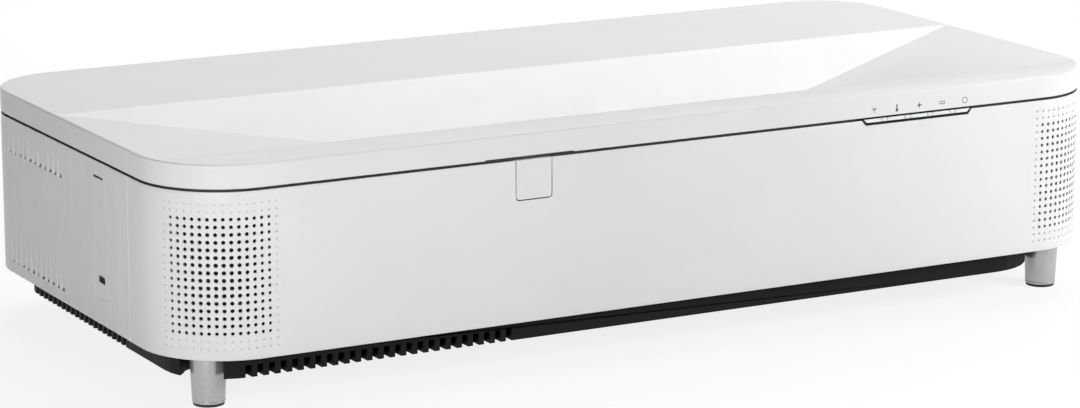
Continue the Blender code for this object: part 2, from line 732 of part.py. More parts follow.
def build_indicators(black, clear):
    """Dark rim that hangs from the lid's lower edge, filled by one clear light guide."""
    front = -HALF_DEPTH
    bottom = LID_BOTTOM - TAB_DROP
    top = LID_BOTTOM - GAP
    bezel = piece('indicator_bezel', along_y(prism_shape(tab_outline(0, bottom, top),
                                                         front + GAP, INNER_FRONT)), black)
    cut(bezel, along_y(prism_shape(tab_outline(TAB_RIM, bottom + TAB_RIM, top - TAB_RIM / 2),
                                   front - WALL, INNER_FRONT + WALL)))
    guide = tab_outline(TAB_RIM + 2 * GAP, bottom + TAB_RIM + GAP, top - TAB_RIM / 2 - GAP)
    piece('indicator_light_guide', along_y(prism_shape(guide, front + GAP / 2, INNER_FRONT)), clear)


def louvre_slots():
    """Air slots of the right cover, two rows."""
    bm = bmesh.new()
    rows = ((SHELL_TOP - UPPER_LOUVRE_TOP - UPPER_LOUVRE_HEIGHT, UPPER_LOUVRE_HEIGHT),
            (SHELL_BOTTOM + LOWER_LOUVRE_BOTTOM, LOWER_LOUVRE_HEIGHT))
    for bottom, height in rows:
        for index in range(LOUVRE_COUNT):
            rear = HALF_DEPTH - LOUVRE_FROM_REAR - LOUVRE_PITCH * index
            add_box(bm, (INNER_SIDE - WALL, rear - LOUVRE_WIDTH, bottom),
                    (HALF_WIDTH + WALL, rear, bottom + height))
    return bm


def side_shape():
    return prism_shape(wall_band(side_path(0), side_path(WALL)), SHELL_BOTTOM, SHELL_TOP)


def build_left_cover(white):
    """Service cover: it pulls straight off to the side, with the air filter clipped in it."""
    cover = piece('left_side_cover', mirrored(side_shape()), white)
    tabs = bmesh.new()
    for y in (SPLIT_Y + 2 * TAB_WIDTH, HALF_DEPTH - REAR_RADIUS - 2 * TAB_WIDTH):
        add_box(tabs, (-INNER_SIDE - WALL / 2, y, PLATE_SEAT),
                (-INNER_SIDE + TAB_REACH, y + TAB_WIDTH, PLATE_SEAT + TAB_HEIGHT))
    join(cover, tabs)
    cut(cover, mirrored(louvre_slots()))
    latch_z = SHELL_TOP - LATCH_DROP
    lock_z = SHELL_BOTTOM + LOCK_RISE
    latch_y = SPLIT_Y + LATCH_FROM_SPLIT
    lock_y = SPLIT_Y + LOCK_FROM_SPLIT
    cut(cover, box_shape(((-HALF_WIDTH - WALL, latch_y, latch_z - LATCH_SLOT / 2),
                          (-INNER_SIDE + WALL, latch_y + LATCH_WIDTH, latch_z + LATCH_SLOT / 2)),
                         ((-HALF_WIDTH - WALL, lock_y, lock_z),
                          (-INNER_SIDE + WALL, lock_y + LOCK_WIDTH, lock_z + LOCK_HEIGHT))))


def build_cover_latch(black):
    """Sprung tongue behind the slot; pushed inwards it frees the left cover."""
    y = SPLIT_Y + LATCH_FROM_SPLIT
    z = SHELL_TOP - LATCH_DROP
    half = LATCH_HEIGHT / 2
    low = (0, GAP, -half)
    high = (LATCH_DEPTH, LATCH_WIDTH - GAP, half - 2 * GAP)
    latch = piece('cover_latch', box_shape((low, high)), black, (-INNER_SIDE + GAP, y, z - half / 2))
    finger = box_shape(((-WALL, LATCH_WIDTH / 4, half / 2 - LATCH_SLOT / 2 + GAP),
                        (LATCH_DEPTH / 2, LATCH_WIDTH * 3 / 4, half / 2 + LATCH_SLOT / 2 - GAP)))
    join(latch, finger, latch.location)


def build_right_cover(white):
    cover = piece('right_side_cover', side_shape(), white)
    cut(cover, louvre_slots())
    hole = cylinder_shape([(0, 0)], KEY_RADIUS + GAP, -2 * WALL, 2 * WALL, 24)
    cut(cover, hole, key_place(), AXIS_X)


def key_place():
    return Vector((HALF_WIDTH - KEY_RECESS, SPLIT_Y + KEY_FROM_SPLIT, SHELL_TOP - KEY_BELOW_TOP))


def build_power_key(grey):
    """Round key that slides inwards; its flange keeps it behind the wall."""
    back = WALL - KEY_RECESS + GAP
    profile = [(0, 0), (KEY_RADIUS, 0), (KEY_RADIUS, -back), (KEY_RADIUS + KEY_FLANGE, -back),
               (KEY_RADIUS + KEY_FLANGE, -back - KEY_FLANGE), (0, -back - KEY_FLANGE)]
    piece('power_key', turned_shape(profile), grey, key_place(), AXIS_X, smooth=True)


# ---------------------------------------------------------------- rear panel and sockets
def sockets():
    """Name, centre x, width and height of the sockets on the main board."""
    first = BAY_LEFT + FIRST_SOCKET_FROM_BAY
    return [('video_socket_1', first, VIDEO_WIDTH, VIDEO_HEIGHT),
            ('video_socket_2', first + SOCKET_PITCH, VIDEO_WIDTH, VIDEO_HEIGHT),
            ('data_socket', first + 2 * SOCKET_PITCH, DATA_WIDTH, DATA_HEIGHT),
            ('audio_socket', first + 3 * SOCKET_PITCH, JACK_WIDTH, JACK_HEIGHT)]


def build_rear_panel(white):
    half = HALF_WIDTH - COVER_REAR_REACH - PART_GAP
    panel = piece('rear_panel', box_shape(((-half, INNER_REAR, SHELL_BOTTOM),
                                           (half, HALF_DEPTH, SHELL_TOP))), white)
    join(panel, box_shape(((BAY_LEFT - BAY_WALL, BAY_FACE - BAY_WALL, BAY_BOTTOM - BAY_WALL),
                           (BAY_RIGHT + BAY_WALL, INNER_REAR + WALL / 2,
                            BAY_BOTTOM + BAY_HEIGHT + BAY_WALL))))
    cut(panel, box_shape(((BAY_LEFT, BAY_FACE, BAY_BOTTOM),
                          (BAY_RIGHT, HALF_DEPTH + WALL, BAY_BOTTOM + BAY_HEIGHT))))
    holes = bmesh.new()
    for _, x, width, height in sockets():
        add_box(holes, (x - width / 2 - GAP, BAY_FACE - 2 * BAY_WALL, SOCKET_BOTTOM - GAP),
                (x + width / 2 + GAP, BAY_FACE + BAY_WALL, SOCKET_BOTTOM + height + GAP))
    half_width = INLET_WIDTH / 2 + GAP
    half_height = INLET_HEIGHT / 2 + GAP
    add_box(holes, (INLET_X - half_width, INNER_REAR - WALL, INLET_Z - half_height),
            (INLET_X + half_width, HALF_DEPTH + WALL, INLET_Z + half_height))
    cut(panel, holes)


def build_sockets(metal, black):
    face = BAY_FACE + SOCKET_PROUD
    for name, x, width, height in sockets():
        z = SOCKET_BOTTOM + height / 2
        material = black if name == 'audio_socket' else metal
        socket = piece(name, box_shape(((-width / 2, -SOCKET_DEPTH, -height / 2),
                                        (width / 2, 0, height / 2))), material, (x, face, z))
        if name == 'audio_socket':
            bore = cylinder_shape([(0, 0)], JACK_BORE, SOCKET_SHELL - SOCKET_DEPTH, SOCKET_SHELL, 16)
            cut(socket, bore, socket.location, AXIS_Y)
        else:
            inner = (width / 2 - SOCKET_SHELL, height / 2 - SOCKET_SHELL)
            cut(socket, box_shape(((-inner[0], 2 * SOCKET_SHELL - SOCKET_DEPTH, -inner[1]),
                                   (inner[0], SOCKET_SHELL, inner[1]))), socket.location)


def build_inlet(black):
    half_width = INLET_WIDTH / 2
    half_height = INLET_HEIGHT / 2
    place = (INLET_X, HALF_DEPTH, INLET_Z)
    inlet = piece('power_inlet', box_shape(((-half_width, -INLET_DEPTH, -half_height),
                                            (half_width, -GAP, half_height))), black, place)
    cut(inlet, box_shape(((INLET_SHELL - half_width, -INLET_CAVITY, INLET_SHELL - half_height),
                          (half_width - INLET_SHELL, WALL, half_height - INLET_SHELL))), place)


# ---------------------------------------------------------------- base tray and feet
def pocket_shape(side, radius):
    """Room round a front foot, open outwards at the cabinet's corner."""
    bm = cylinder_shape([(0, 0)], radius, -FOOT_HEIGHT, PLATE_BOTTOM + GAP, 28)
    return moved(bm, Matrix.Translation((side * FOOT_X, FOOT_Y, 0)))


def pocket_mouth(radius):
    """Cut from the left foot out through the tray's corner."""
    bm = box_shape(((0, -radius, -FOOT_HEIGHT), (2 * radius, radius, PLATE_BOTTOM + GAP)))
    turn = Matrix.Rotation(math.radians(225), 4, 'Z')
    return moved(bm, Matrix.Translation((-FOOT_X, FOOT_Y, 0)) @ turn)


def tray_slots():
    """Air slots through the tray's lower front and left edges."""
    bm = bmesh.new()
    front = -HALF_DEPTH + BASE_INSET_FRONT
    left = -HALF_WIDTH + BASE_INSET_LEFT
    low = FOOT_HEIGHT - WALL
    high = FOOT_HEIGHT + SLOT_HEIGHT
    for index in range(FRONT_SLOTS):
        x = -HALF_WIDTH + FRONT_SLOTS_FROM_SIDE + SLOT_PITCH * index
        add_box(bm, (x, front - WALL, low), (x + SLOT_WIDTH, front + SLOT_DEPTH, high))
    for index in range(SIDE_SLOTS):
        y = HALF_DEPTH - SIDE_SLOTS_FROM_REAR - SLOT_PITCH * index
        add_box(bm, (left - WALL, y - SLOT_WIDTH, low), (left + SLOT_DEPTH, y, high))
    return bm


def board_supports():
    return [(x, y) for x in (BOARD_LEFT + SUPPORT_INSET, BOARD_RIGHT - SUPPORT_INSET)
            for y in (BOARD_FRONT + SUPPORT_INSET, BOARD_REAR - 2 * SUPPORT_INSET - BAY_WALL)]


def build_tray(black):
    """Tray with a raised flange under the covers and a sunk tub that holds the inner parts."""
    tray = piece('base_tray', prism_shape(cabinet_outline(WALL + GAP), PLATE_BOTTOM, PLATE_TOP), black)
    join(tray, prism_shape(base_outline(0), FOOT_HEIGHT, PLATE_TOP - WALL / 4))
    hollow = cut(tray, prism_shape(base_outline(WALL), FLOOR_TOP, PLATE_TOP + WALL))
    feet = [(side * FOOT_X, FOOT_Y) for side in (-1, 1)]
    cut(hollow, cylinder_shape(feet, FOOT_POCKET_RADIUS + WALL, 0, HEIGHT, 28))
    for side in (-1, 1):
        cut(tray, pocket_shape(side, FOOT_POCKET_RADIUS))
    cut(tray, pocket_mouth(FOOT_POCKET_RADIUS - POCKET_MOUTH_INSET))
    join(tray, cylinder_shape(feet, BOSS_RADIUS, PLATE_TOP - WALL / 2, BOSS_TOP))
    cut(tray, cylinder_shape(feet, STUD_RADIUS + GAP, 0, BOSS_TOP - WALL, 16))
    join(tray, cylinder_shape(board_supports(), SUPPORT_RADIUS, FLOOR_TOP - WALL / 2,
                              BOARD_BOTTOM - GAP, 12))
    cut(tray, tray_slots())
    cut(tray, cylinder_shape(POSTS, SCREW_RADIUS + GAP, 0, PLATE_TOP + WALL, 12))


def build_front_foot(side, name, metal, rubber):
    """Screw-in foot: a barrel on a threaded stud, standing on a pad that doesn't turn with it."""
    top = SHELL_BOTTOM
    bottom = FOOT_PAD_HEIGHT + GAP
    stud_top = BOSS_TOP - WALL - 4 * GAP
    profile = [(0, stud_top), (STUD_RADIUS - FOOT_CHAMFER, stud_top),
               (STUD_RADIUS, stud_top - FOOT_CHAMFER),
               (STUD_RADIUS, top), (FOOT_TOP_RADIUS, top), (FOOT_BOTTOM_RADIUS, bottom + FOOT_CHAMFER),
               (FOOT_BOTTOM_RADIUS - FOOT_CHAMFER, bottom), (0, bottom)]
    place = (side * FOOT_X, FOOT_Y, 0)
    piece(f'front_foot_{name}', turned_shape(profile, 28), metal, place, smooth=True)
    edge = FOOT_PAD_HEIGHT / 3
    pad = [(0, FOOT_PAD_HEIGHT), (FOOT_PAD_RADIUS, FOOT_PAD_HEIGHT), (FOOT_PAD_RADIUS, edge),
           (FOOT_PAD_RADIUS - edge, 0), (0, 0)]
    piece(f'front_foot_pad_{name}', turned_shape(pad), rubber, place, smooth=True)


def build_rear_foot(side, name, rubber):
    top = FOOT_HEIGHT - GAP
    profile = [(0, top), (REAR_FOOT_RADIUS, top), (REAR_FOOT_RADIUS - REAR_FOOT_CHAMFER, REAR_FOOT_CHAMFER),
               (REAR_FOOT_RADIUS - 2 * REAR_FOOT_CHAMFER, 0), (0, 0)]
    place = (side * (HALF_WIDTH - REAR_FOOT_FROM_SIDE), HALF_DEPTH - REAR_FOOT_FROM_REAR, 0)
    piece(f'rear_foot_{name}', turned_shape(profile), rubber, place, smooth=True)


def build_screws(steel):
    for number, place in enumerate(POSTS, start=1):
        seat = post_seat(place) - 2 * GAP - WALL
        shank = seat + WALL + SCREW_LENGTH - 2 * GAP
        head = seat - SCREW_HEAD_HEIGHT
        socket = seat - SCREW_HEAD_HEIGHT / 2
        profile = [(0, shank), (SCREW_RADIUS, shank), (SCREW_RADIUS, seat), (SCREW_HEAD_RADIUS, seat),
                   (SCREW_HEAD_RADIUS, head), (SCREW_DRIVE_RADIUS, head), (SCREW_DRIVE_RADIUS, socket),
                   (0, socket)]
        piece(f'lid_screw_{number}', turned_shape(profile, 12), steel, (*place, 0), smooth=True)


# ---------------------------------------------------------------- speakers
def build_speaker(side, name, black, paper):
    """Driver facing out through the corner's perforations, standing on the foot's boss."""
    turn = Euler((0, math.radians(90), math.radians(-90 + 45 * side)))
    corner = Vector((side * (HALF_WIDTH - FRONT_RADIUS), -HALF_DEPTH + FRONT_RADIUS, GRILLE_CENTRE_Z))
    outwards = turn.to_matrix() @ Vector((0, 0, 1))
    place = corner + SPEAKER_DISTANCE * outwards
    rim = CONE_RADIUS + GAP
    magnet = SPEAKER_RADIUS / 2
    room = CONE_TRAVEL + 2 * GAP
    sheet = CONE_SHEET
    cone_back = -CONE_DEPTH
    coil = magnet / 2
    profile = [(rim, 0), (SPEAKER_RADIUS, 0), (SPEAKER_RADIUS, -SPEAKER_FLANGE),
               (magnet + sheet, cone_back - room - SPEAKER_FLANGE), (magnet, -SPEAKER_DEPTH),
               (0, -SPEAKER_DEPTH),
               (0, cone_back - room - sheet), (coil + 2 * sheet, cone_back - room - sheet),
               (rim, -SPEAKER_FLANGE - room)]
    speaker = piece(f'speaker_{name}', turned_shape(profile), black, place, turn, smooth=True)
    saddle = box_shape(((SPEAKER_RADIUS - SPEAKER_FLANGE, -BOSS_RADIUS, -SPEAKER_FLANGE),
                        (SPEAKER_RADIUS, BOSS_RADIUS, 0)))
    join(speaker, saddle, place, turn)
    cone = [(0, cone_back + sheet * 2), (coil, cone_back + sheet), (CONE_RADIUS - sheet, -sheet),
            (CONE_RADIUS, -sheet), (CONE_RADIUS, -2 * sheet), (coil, cone_back), (0, cone_back + sheet)]
    piece(f'speaker_cone_{name}', turned_shape(cone), paper, place, turn, smooth=True)


def build_cloth(side, name, cloth):
    """Dark cloth stretched behind the perforated corner."""
    centre = (side * (HALF_WIDTH - FRONT_RADIUS), -HALF_DEPTH + FRONT_RADIUS)
    outer_radius = FRONT_RADIUS - WALL - GAP
    start, end = (180, 270) if side < 0 else (270, 360)
    outer = arc(centre, outer_radius, start, end, CORNER_STEPS)
    inner = arc(centre, outer_radius - CLOTH_THICKNESS, start, end, CORNER_STEPS)
    bm = prism_shape(wall_band(outer, inner), PLATE_SEAT, SHELL_TOP - FRAME_BELOW_SEAM - GAP)
    piece(f'grille_cloth_{name}', bm, cloth)


# ---------------------------------------------------------------- fans and filter
def fan_place(x, front, bottom):
    return Vector((x, front + FAN_SIZE / 2, bottom + FAN_SIZE / 2))


def fan_window(start, end):
    """Gap between two struts of a fan frame."""
    return arc((0, 0), FAN_BORE_RADIUS, start, end, 5) + arc((0, 0), FAN_HUB_RADIUS, end, start, 3)


def build_fan(kind, place, black, dark):
    """Axial fan with its shaft along X; the struts are on the inner side."""
    half = FAN_SIZE / 2
    frame = piece(f'{kind}_frame', box_shape(((-half, -half, 0), (half, half, FAN_THICKNESS))),
                  black, place, AXIS_X)
    bore = cylinder_shape([(0, 0)], FAN_BORE_RADIUS, FAN_STRUT_DEPTH, 2 * FAN_THICKNESS, FAN_STEPS)
    cut(frame, bore, place, AXIS_X)
    windows = bmesh.new()
    for quarter in range(4):
        start = 90 * quarter + FAN_STRUT_ANGLE / 2
        add_prism(windows, fan_window(start, start + 90 - FAN_STRUT_ANGLE), -FAN_THICKNESS,
                  FAN_STRUT_DEPTH * 2)
    cut(frame, windows, place, AXIS_X)
    outline = []
    pitch = 360 / FAN_BLADES
    for blade in range(FAN_BLADES):
        start = pitch * blade
        root = arc((0, 0), FAN_HUB_RADIUS, start + BLADE_ROOT_START, start + pitch, 1)
        tip = arc((0, 0), FAN_TIP_RADIUS, start + BLADE_TIP_START, start + BLADE_TIP_END, 2)
        outline += tip + root
    rotor = prism_shape(outline, FAN_STRUT_DEPTH + GAP, FAN_THICKNESS - ROTOR_SET_BACK,
                        math.radians(BLADE_TWIST), 2)
    piece(f'{kind}_rotor', rotor, dark, place, AXIS_X)


def build_filter(grey, paper):
    frame = piece('filter_frame', box_shape(((FILTER_X, FILTER_FRONT, FILTER_BOTTOM),
                                             (FILTER_X + FILTER_DEPTH, FILTER_REAR, FILTER_TOP))), grey)
    front = FILTER_FRONT + FILTER_BORDER
    rear = FILTER_REAR - FILTER_BORDER
    bottom = FILTER_BOTTOM + FILTER_BORDER
    top = FILTER_TOP - FILTER_BORDER
    cut(frame, box_shape(((FILTER_X - WALL, front, bottom), (FILTER_X + 2 * FILTER_DEPTH, rear, top))))
    shallow = FILTER_X + PLEAT_SHEET
    deep = FILTER_X + FILTER_DEPTH - 2 * PLEAT_SHEET
    step = (rear - front - 2 * GAP) / (2 * PLEATS)
    ridges = [(deep if index % 2 else shallow, front + GAP + step * index)
              for index in range(2 * PLEATS + 1)]
    sheet = [(x + PLEAT_SHEET, y) for x, y in ridges]
    piece('filter_media', prism_shape(list(reversed(wall_band(ridges, sheet))), bottom + GAP, top - GAP),
          paper)


# ---------------------------------------------------------------- optics
def gear_outline(teeth, pitch_radius):
    """Spur gear with straight-sided teeth."""
    points = []
    root = pitch_radius - TOOTH_HEIGHT / 2 - BACKLASH
    tip = pitch_radius + TOOTH_HEIGHT / 2 - BACKLASH
    pitch = 360 / teeth
    for tooth in range(teeth):
        middle = pitch * tooth
        for radius, share in ((root, -TOOTH_ROOT_SHARE), (tip, -TOOTH_TIP_SHARE),
                              (tip, TOOTH_TIP_SHARE), (root, TOOTH_ROOT_SHARE)):
            angle = math.radians(middle + pitch * share)
            points.append((radius * math.cos(angle), radius * math.sin(angle)))
    return points


def build_lens(black, glass):
    barrel_profile = [(LENS_BORE, 0), (LENS_BARREL_RADIUS, 0), (LENS_BARREL_RADIUS, RING_SEAT_FROM_TIP - GAP),
                      (RING_SEAT_RADIUS, RING_SEAT_FROM_TIP - GAP),
                      (RING_SEAT_RADIUS, RING_SEAT_FROM_TIP + RING_WIDTH + GAP),
                      (LENS_BARREL_RADIUS, RING_SEAT_FROM_TIP + RING_WIDTH + GAP),
                      (LENS_BARREL_RADIUS, LENS_LENGTH), (LENS_BORE, LENS_LENGTH)]
    place = Vector((0, LENS_TIP, LENS_Z))
    barrel = piece('lens_barrel', turned_shape(barrel_profile, 32), black, place, AXIS_Y, smooth=True)
    plate = box_shape(((LENS_PLATE_LEFT, LENS_PLATE_Y, FLOOR_SEAT),
                       (LENS_PLATE_RIGHT, LENS_PLATE_Y + LENS_PLATE_THICKNESS, LENS_Z)))
    join(barrel, plate)
    bore = cylinder_shape([(0, 0)], LENS_BORE, -WALL, LENS_LENGTH + WALL, 32)
    cut(barrel, bore, place, AXIS_Y)
    shaft_hole = cylinder_shape([(0, 0)], STUD_RADIUS, -WALL, LENS_LENGTH, 16)
    cut(barrel, shaft_hole, (PINION_X, LENS_PLATE_Y - WALL, PINION_Z), AXIS_Y)

    bulge = FRONT_LENS_THICKNESS / 3
    edge = FRONT_LENS_RADIUS
    shares = (0, 0.4, 0.75, 1)
    lens = [(edge * share, bulge * share ** 2) for share in shares]
    lens += [(edge * share, FRONT_LENS_THICKNESS - bulge * share ** 2) for share in reversed(shares)]
    piece('front_lens', turned_shape(lens, 32), glass, place + Vector((0, WALL, 0)), AXIS_Y, smooth=True)

    radius = LENS_BORE - GAP
    cell = [(CELL_BORE, 0), (radius, 0), (radius, CELL_LENGTH), (CELL_BORE, CELL_LENGTH)]
    piece('focus_lens_cell', turned_shape(cell, 28), black,
          place + Vector((0, CELL_FROM_TIP, 0)), AXIS_Y, smooth=True)


def build_focus_drive(black, metal, brass):
    """Motor and pinion that turn the toothed focus ring round the barrel."""
    face = LENS_TIP + RING_SEAT_FROM_TIP
    ring = piece('focus_ring', prism_shape(gear_outline(RING_TEETH, RING_PITCH_RADIUS), 0, RING_WIDTH),
                 black, (0, face, LENS_Z), AXIS_Y)
    cut(ring, cylinder_shape([(0, 0)], RING_SEAT_RADIUS + GAP, -WALL, RING_WIDTH + WALL, 32),
        ring.location, AXIS_Y)
    pitch_radius = RING_PITCH_RADIUS * PINION_TEETH / RING_TEETH
    outline = gear_outline(PINION_TEETH, pitch_radius)
    ring_phase = (-PINION_ANGLE * RING_TEETH / 360) % 1
    turn_to_mesh = 180 - PINION_ANGLE + (ring_phase - 0.5) * 360 / PINION_TEETH
    outline = [tuple(Matrix.Rotation(math.radians(turn_to_mesh), 2) @ Vector(point)) for point in outline]
    pinion = piece('focus_pinion', prism_shape(outline, 0, RING_WIDTH), brass,
                   (PINION_X, face, PINION_Z), AXIS_Y)
    shaft_radius = STUD_RADIUS / 2
    shaft_end = RING_WIDTH + LENS_PLATE_THICKNESS + 3 * GAP
    join(pinion, cylinder_shape([(0, 0)], shaft_radius, RING_WIDTH / 2, shaft_end, 12),
         pinion.location, AXIS_Y)
    motor_front = LENS_PLATE_Y + LENS_PLATE_THICKNESS + GAP
    profile = [(0, GAP), (MOTOR_RADIUS, GAP), (MOTOR_RADIUS, MOTOR_LENGTH), (0, MOTOR_LENGTH)]
    piece('focus_motor', turned_shape(profile), metal, (PINION_X, motor_front, PINION_Z), AXIS_Y, smooth=True)


def mirror_place():
    lean = Euler((math.radians(MIRROR_LEAN), 0, 0))
    return Vector((0, INNER_FRONT + MIRROR_FROM_FRONT, LENS_Z + MIRROR_RISE)), lean


def mirror_shape():
    """Concave face on a flat back; the face looks along +Y before the lean."""
    bm = bmesh.new()
    columns, rows = 8, 4
    grid = []
    for row in range(rows + 1):
        z = MIRROR_HEIGHT * (row / rows - 0.5)
        line = []
        for column in range(columns + 1):
            x = MIRROR_WIDTH * (column / columns - 0.5)
            share = (x / MIRROR_WIDTH) ** 2 + (z / MIRROR_WIDTH) ** 2
            line.append(bm.verts.new((x, MIRROR_THICKNESS + 4 * MIRROR_SAG * share, z)))
        grid.append(line)
    for lower, upper in zip(grid, grid[1:]):
        for index in range(columns):
            bm.faces.new((lower[index], upper[index], upper[index + 1], lower[index + 1]))
    corners = [bm.verts.new((x, 0, z)) for x, z in ((-MIRROR_WIDTH / 2, -MIRROR_HEIGHT / 2),
                                                    (MIRROR_WIDTH / 2, -MIRROR_HEIGHT / 2),
                                                    (MIRROR_WIDTH / 2, MIRROR_HEIGHT / 2),
                                                    (-MIRROR_WIDTH / 2, MIRROR_HEIGHT / 2))]
    bm.faces.new(corners)
    bm.faces.new([corners[1], corners[0]] + grid[0])
    bm.faces.new([corners[3], corners[2]] + list(reversed(grid[-1])))
    bm.faces.new([corners[0], corners[3]] + [line[0] for line in reversed(grid)])
    bm.faces.new([corners[2], corners[1]] + [line[-1] for line in grid])
    return bm


def build_mirror(mirror, black):
    place, lean = mirror_place()
    piece('aspheric_mirror', mirror_shape(), mirror, place, lean, smooth=True)
    matrix = Matrix.Translation(place) @ lean.to_matrix().to_4x4()
    low = matrix @ Vector((0, -GAP, -MIRROR_HEIGHT / 2))
    high = matrix @ Vector((0, -GAP, HOLDER_RISE))
    front = -HALF_DEPTH + BASE_INSET_FRONT + WALL + GAP
    half = HOLDER_WIDTH / 2
    outline = [(front, FLOOR_SEAT), (low.y, FLOOR_SEAT), (low.y, low.z), (high.y, high.z), (front, high.z)]
    piece('mirror_holder', along_x(prism_shape(outline, -half, half)), black)


# ---------------------------------------------------------------- light source, cooling, boards
def build_engine(black):
    """Prism block and its housing, behind the lens."""
    rear = ENGINE_FRONT + ENGINE_LENGTH
    step = ENGINE_STEP
    engine = piece('optical_engine', box_shape(((ENGINE_LEFT, ENGINE_FRONT, FLOOR_SEAT),
                                                (ENGINE_RIGHT, rear, ENGINE_TOP - step))), black)
    join(engine, box_shape(((ENGINE_LEFT + step, ENGINE_FRONT + step, FLOOR_SEAT + step),
                            (ENGINE_RIGHT - step, rear - step, ENGINE_TOP))))


def build_light_source(metal, silver, wheel_material):
    front = WHEEL_Y - LASER_DEPTH / 2
    rear = WHEEL_Y + LASER_DEPTH / 2
    laser = piece('laser_module', box_shape(((LASER_LEFT, front, FLOOR_SEAT),
                                             (LASER_RIGHT, rear, FLOOR_SEAT + LASER_HEIGHT))), metal)
    pipes = cylinder_shape(pipe_places(), PIPE_RADIUS + 2 * GAP, LASER_LEFT + LASER_LENGTH / 3,
                           SINK_RIGHT, 14)
    cut(laser, along_x(pipes))
    motor = [(0, 0), (WHEEL_MOTOR_RADIUS, 0), (WHEEL_MOTOR_RADIUS, WHEEL_MOTOR_LENGTH),
             (0, WHEEL_MOTOR_LENGTH)]
    place = Vector((WHEEL_X, WHEEL_Y, WHEEL_Z))
    piece('wheel_motor', turned_shape(motor), silver,
          place + Vector((WHEEL_THICKNESS + GAP, 0, 0)), AXIS_X, smooth=True)
    disc = [(0, -WHEEL_THICKNESS), (WHEEL_HUB_RADIUS, -WHEEL_THICKNESS), (WHEEL_HUB_RADIUS, 0),
            (WHEEL_RADIUS, 0), (WHEEL_RADIUS, WHEEL_THICKNESS), (0, WHEEL_THICKNESS)]
    piece('phosphor_wheel', turned_shape(disc, 36), wheel_material, place, AXIS_X, smooth=True)


def pipe_places():
    return [(WHEEL_Y + side * PIPE_SPACING / 2, PIPE_Z) for side in (-1, 1)]


def build_cooling(silver, copper):
    """Finned block in the path of the exhaust fans, fed by two straight heat pipes."""
    front = WHEEL_Y - SINK_DEPTH / 2
    floor = PIPE_Z - SINK_BASE / 2
    top_of_base = PIPE_Z + SINK_BASE / 2
    outline = [(front, FLOOR_SEAT), (front + SINK_LEG, FLOOR_SEAT), (front + SINK_LEG, floor),
               (front + SINK_DEPTH - SINK_LEG, floor), (front + SINK_DEPTH - SINK_LEG, FLOOR_SEAT),
               (front + SINK_DEPTH, FLOOR_SEAT)]
    pitch = (SINK_DEPTH - FIN_THICKNESS) / (SINK_FINS - 1)
    for fin in reversed(range(SINK_FINS)):
        y = front + pitch * fin
        fin_points = [(y + FIN_THICKNESS, top_of_base), (y + FIN_THICKNESS, SINK_TOP), (y, SINK_TOP),
                      (y, top_of_base)]
        if fin == SINK_FINS - 1:
            fin_points = fin_points[1:]
        if fin == 0:
            fin_points = fin_points[:-1]
        outline += fin_points
    sink = piece('heat_sink', along_x(prism_shape(outline, SINK_LEFT, SINK_RIGHT)), silver)
    pipes = cylinder_shape(pipe_places(), PIPE_RADIUS + 2 * GAP, SINK_LEFT - WALL, SINK_RIGHT + WALL, 14)
    cut(sink, along_x(pipes))
    for name, (y, z) in zip(('front', 'rear'), pipe_places()):
        start = LASER_LEFT + LASER_LENGTH / 3 + GAP
        length = SINK_RIGHT - start
        taper = PIPE_RADIUS / 2
        profile = [(0, 0), (taper, 0), (PIPE_RADIUS, taper), (PIPE_RADIUS, length - taper), (taper, length),
                   (0, length)]
        piece(f'heat_pipe_{name}', turned_shape(profile, 14), copper, (start, y, z), AXIS_X, smooth=True)


def build_board(green):
    board = piece('main_board', box_shape(((BOARD_LEFT, BOARD_FRONT, BOARD_BOTTOM),
                                           (BOARD_RIGHT, BOARD_REAR, BOARD_BOTTOM + BOARD_THICKNESS))), green)
    width = BOARD_RIGHT - BOARD_LEFT
    length = BOARD_REAR - BOARD_FRONT
    tool = bmesh.new()
    for share_x, share_y, size_x, size_y, height in BOARD_CHIPS:
        x = BOARD_LEFT + width * share_x
        y = BOARD_FRONT + length * share_y
        add_box(tool, (x - size_x / 2, y - size_y / 2, BOARD_BOTTOM + BOARD_THICKNESS / 2),
                (x + size_x / 2, y + size_y / 2, BOARD_BOTTOM + BOARD_THICKNESS + height))
    join(board, tool)


def build_supply(green):
    """Open-frame power supply: a board with its transformer, capacitors and coolers."""
    front = -HALF_DEPTH + SUPPLY_FROM_FRONT
    base_top = FLOOR_SEAT + 2 * BOARD_THICKNESS
    supply = piece('power_supply', box_shape(((SUPPLY_LEFT, front, FLOOR_SEAT),
                                              (SUPPLY_RIGHT, SUPPLY_REAR, base_top))), green)
    width = SUPPLY_RIGHT - SUPPLY_LEFT
    length = SUPPLY_REAR - front
    top = FLOOR_SEAT + SUPPLY_HEIGHT
    tool = bmesh.new()
    for share_x, share_y, size_x, size_y, share_z in SUPPLY_BLOCKS:
        x = SUPPLY_LEFT + width * share_x
        y = front + length * share_y
        add_box(tool, (x - size_x / 2, y - size_y / 2, base_top - BOARD_THICKNESS),
                (x + size_x / 2, y + size_y / 2, base_top + (top - base_top) * share_z))
    capacitors = [(SUPPLY_LEFT + width * share_x, front + length * share_y)
                  for share_x, share_y in CAPACITOR_SHARES]
    join(supply, tool)
    join(supply, cylinder_shape(capacitors, CAPACITOR_RADIUS, base_top - BOARD_THICKNESS, top, 18))


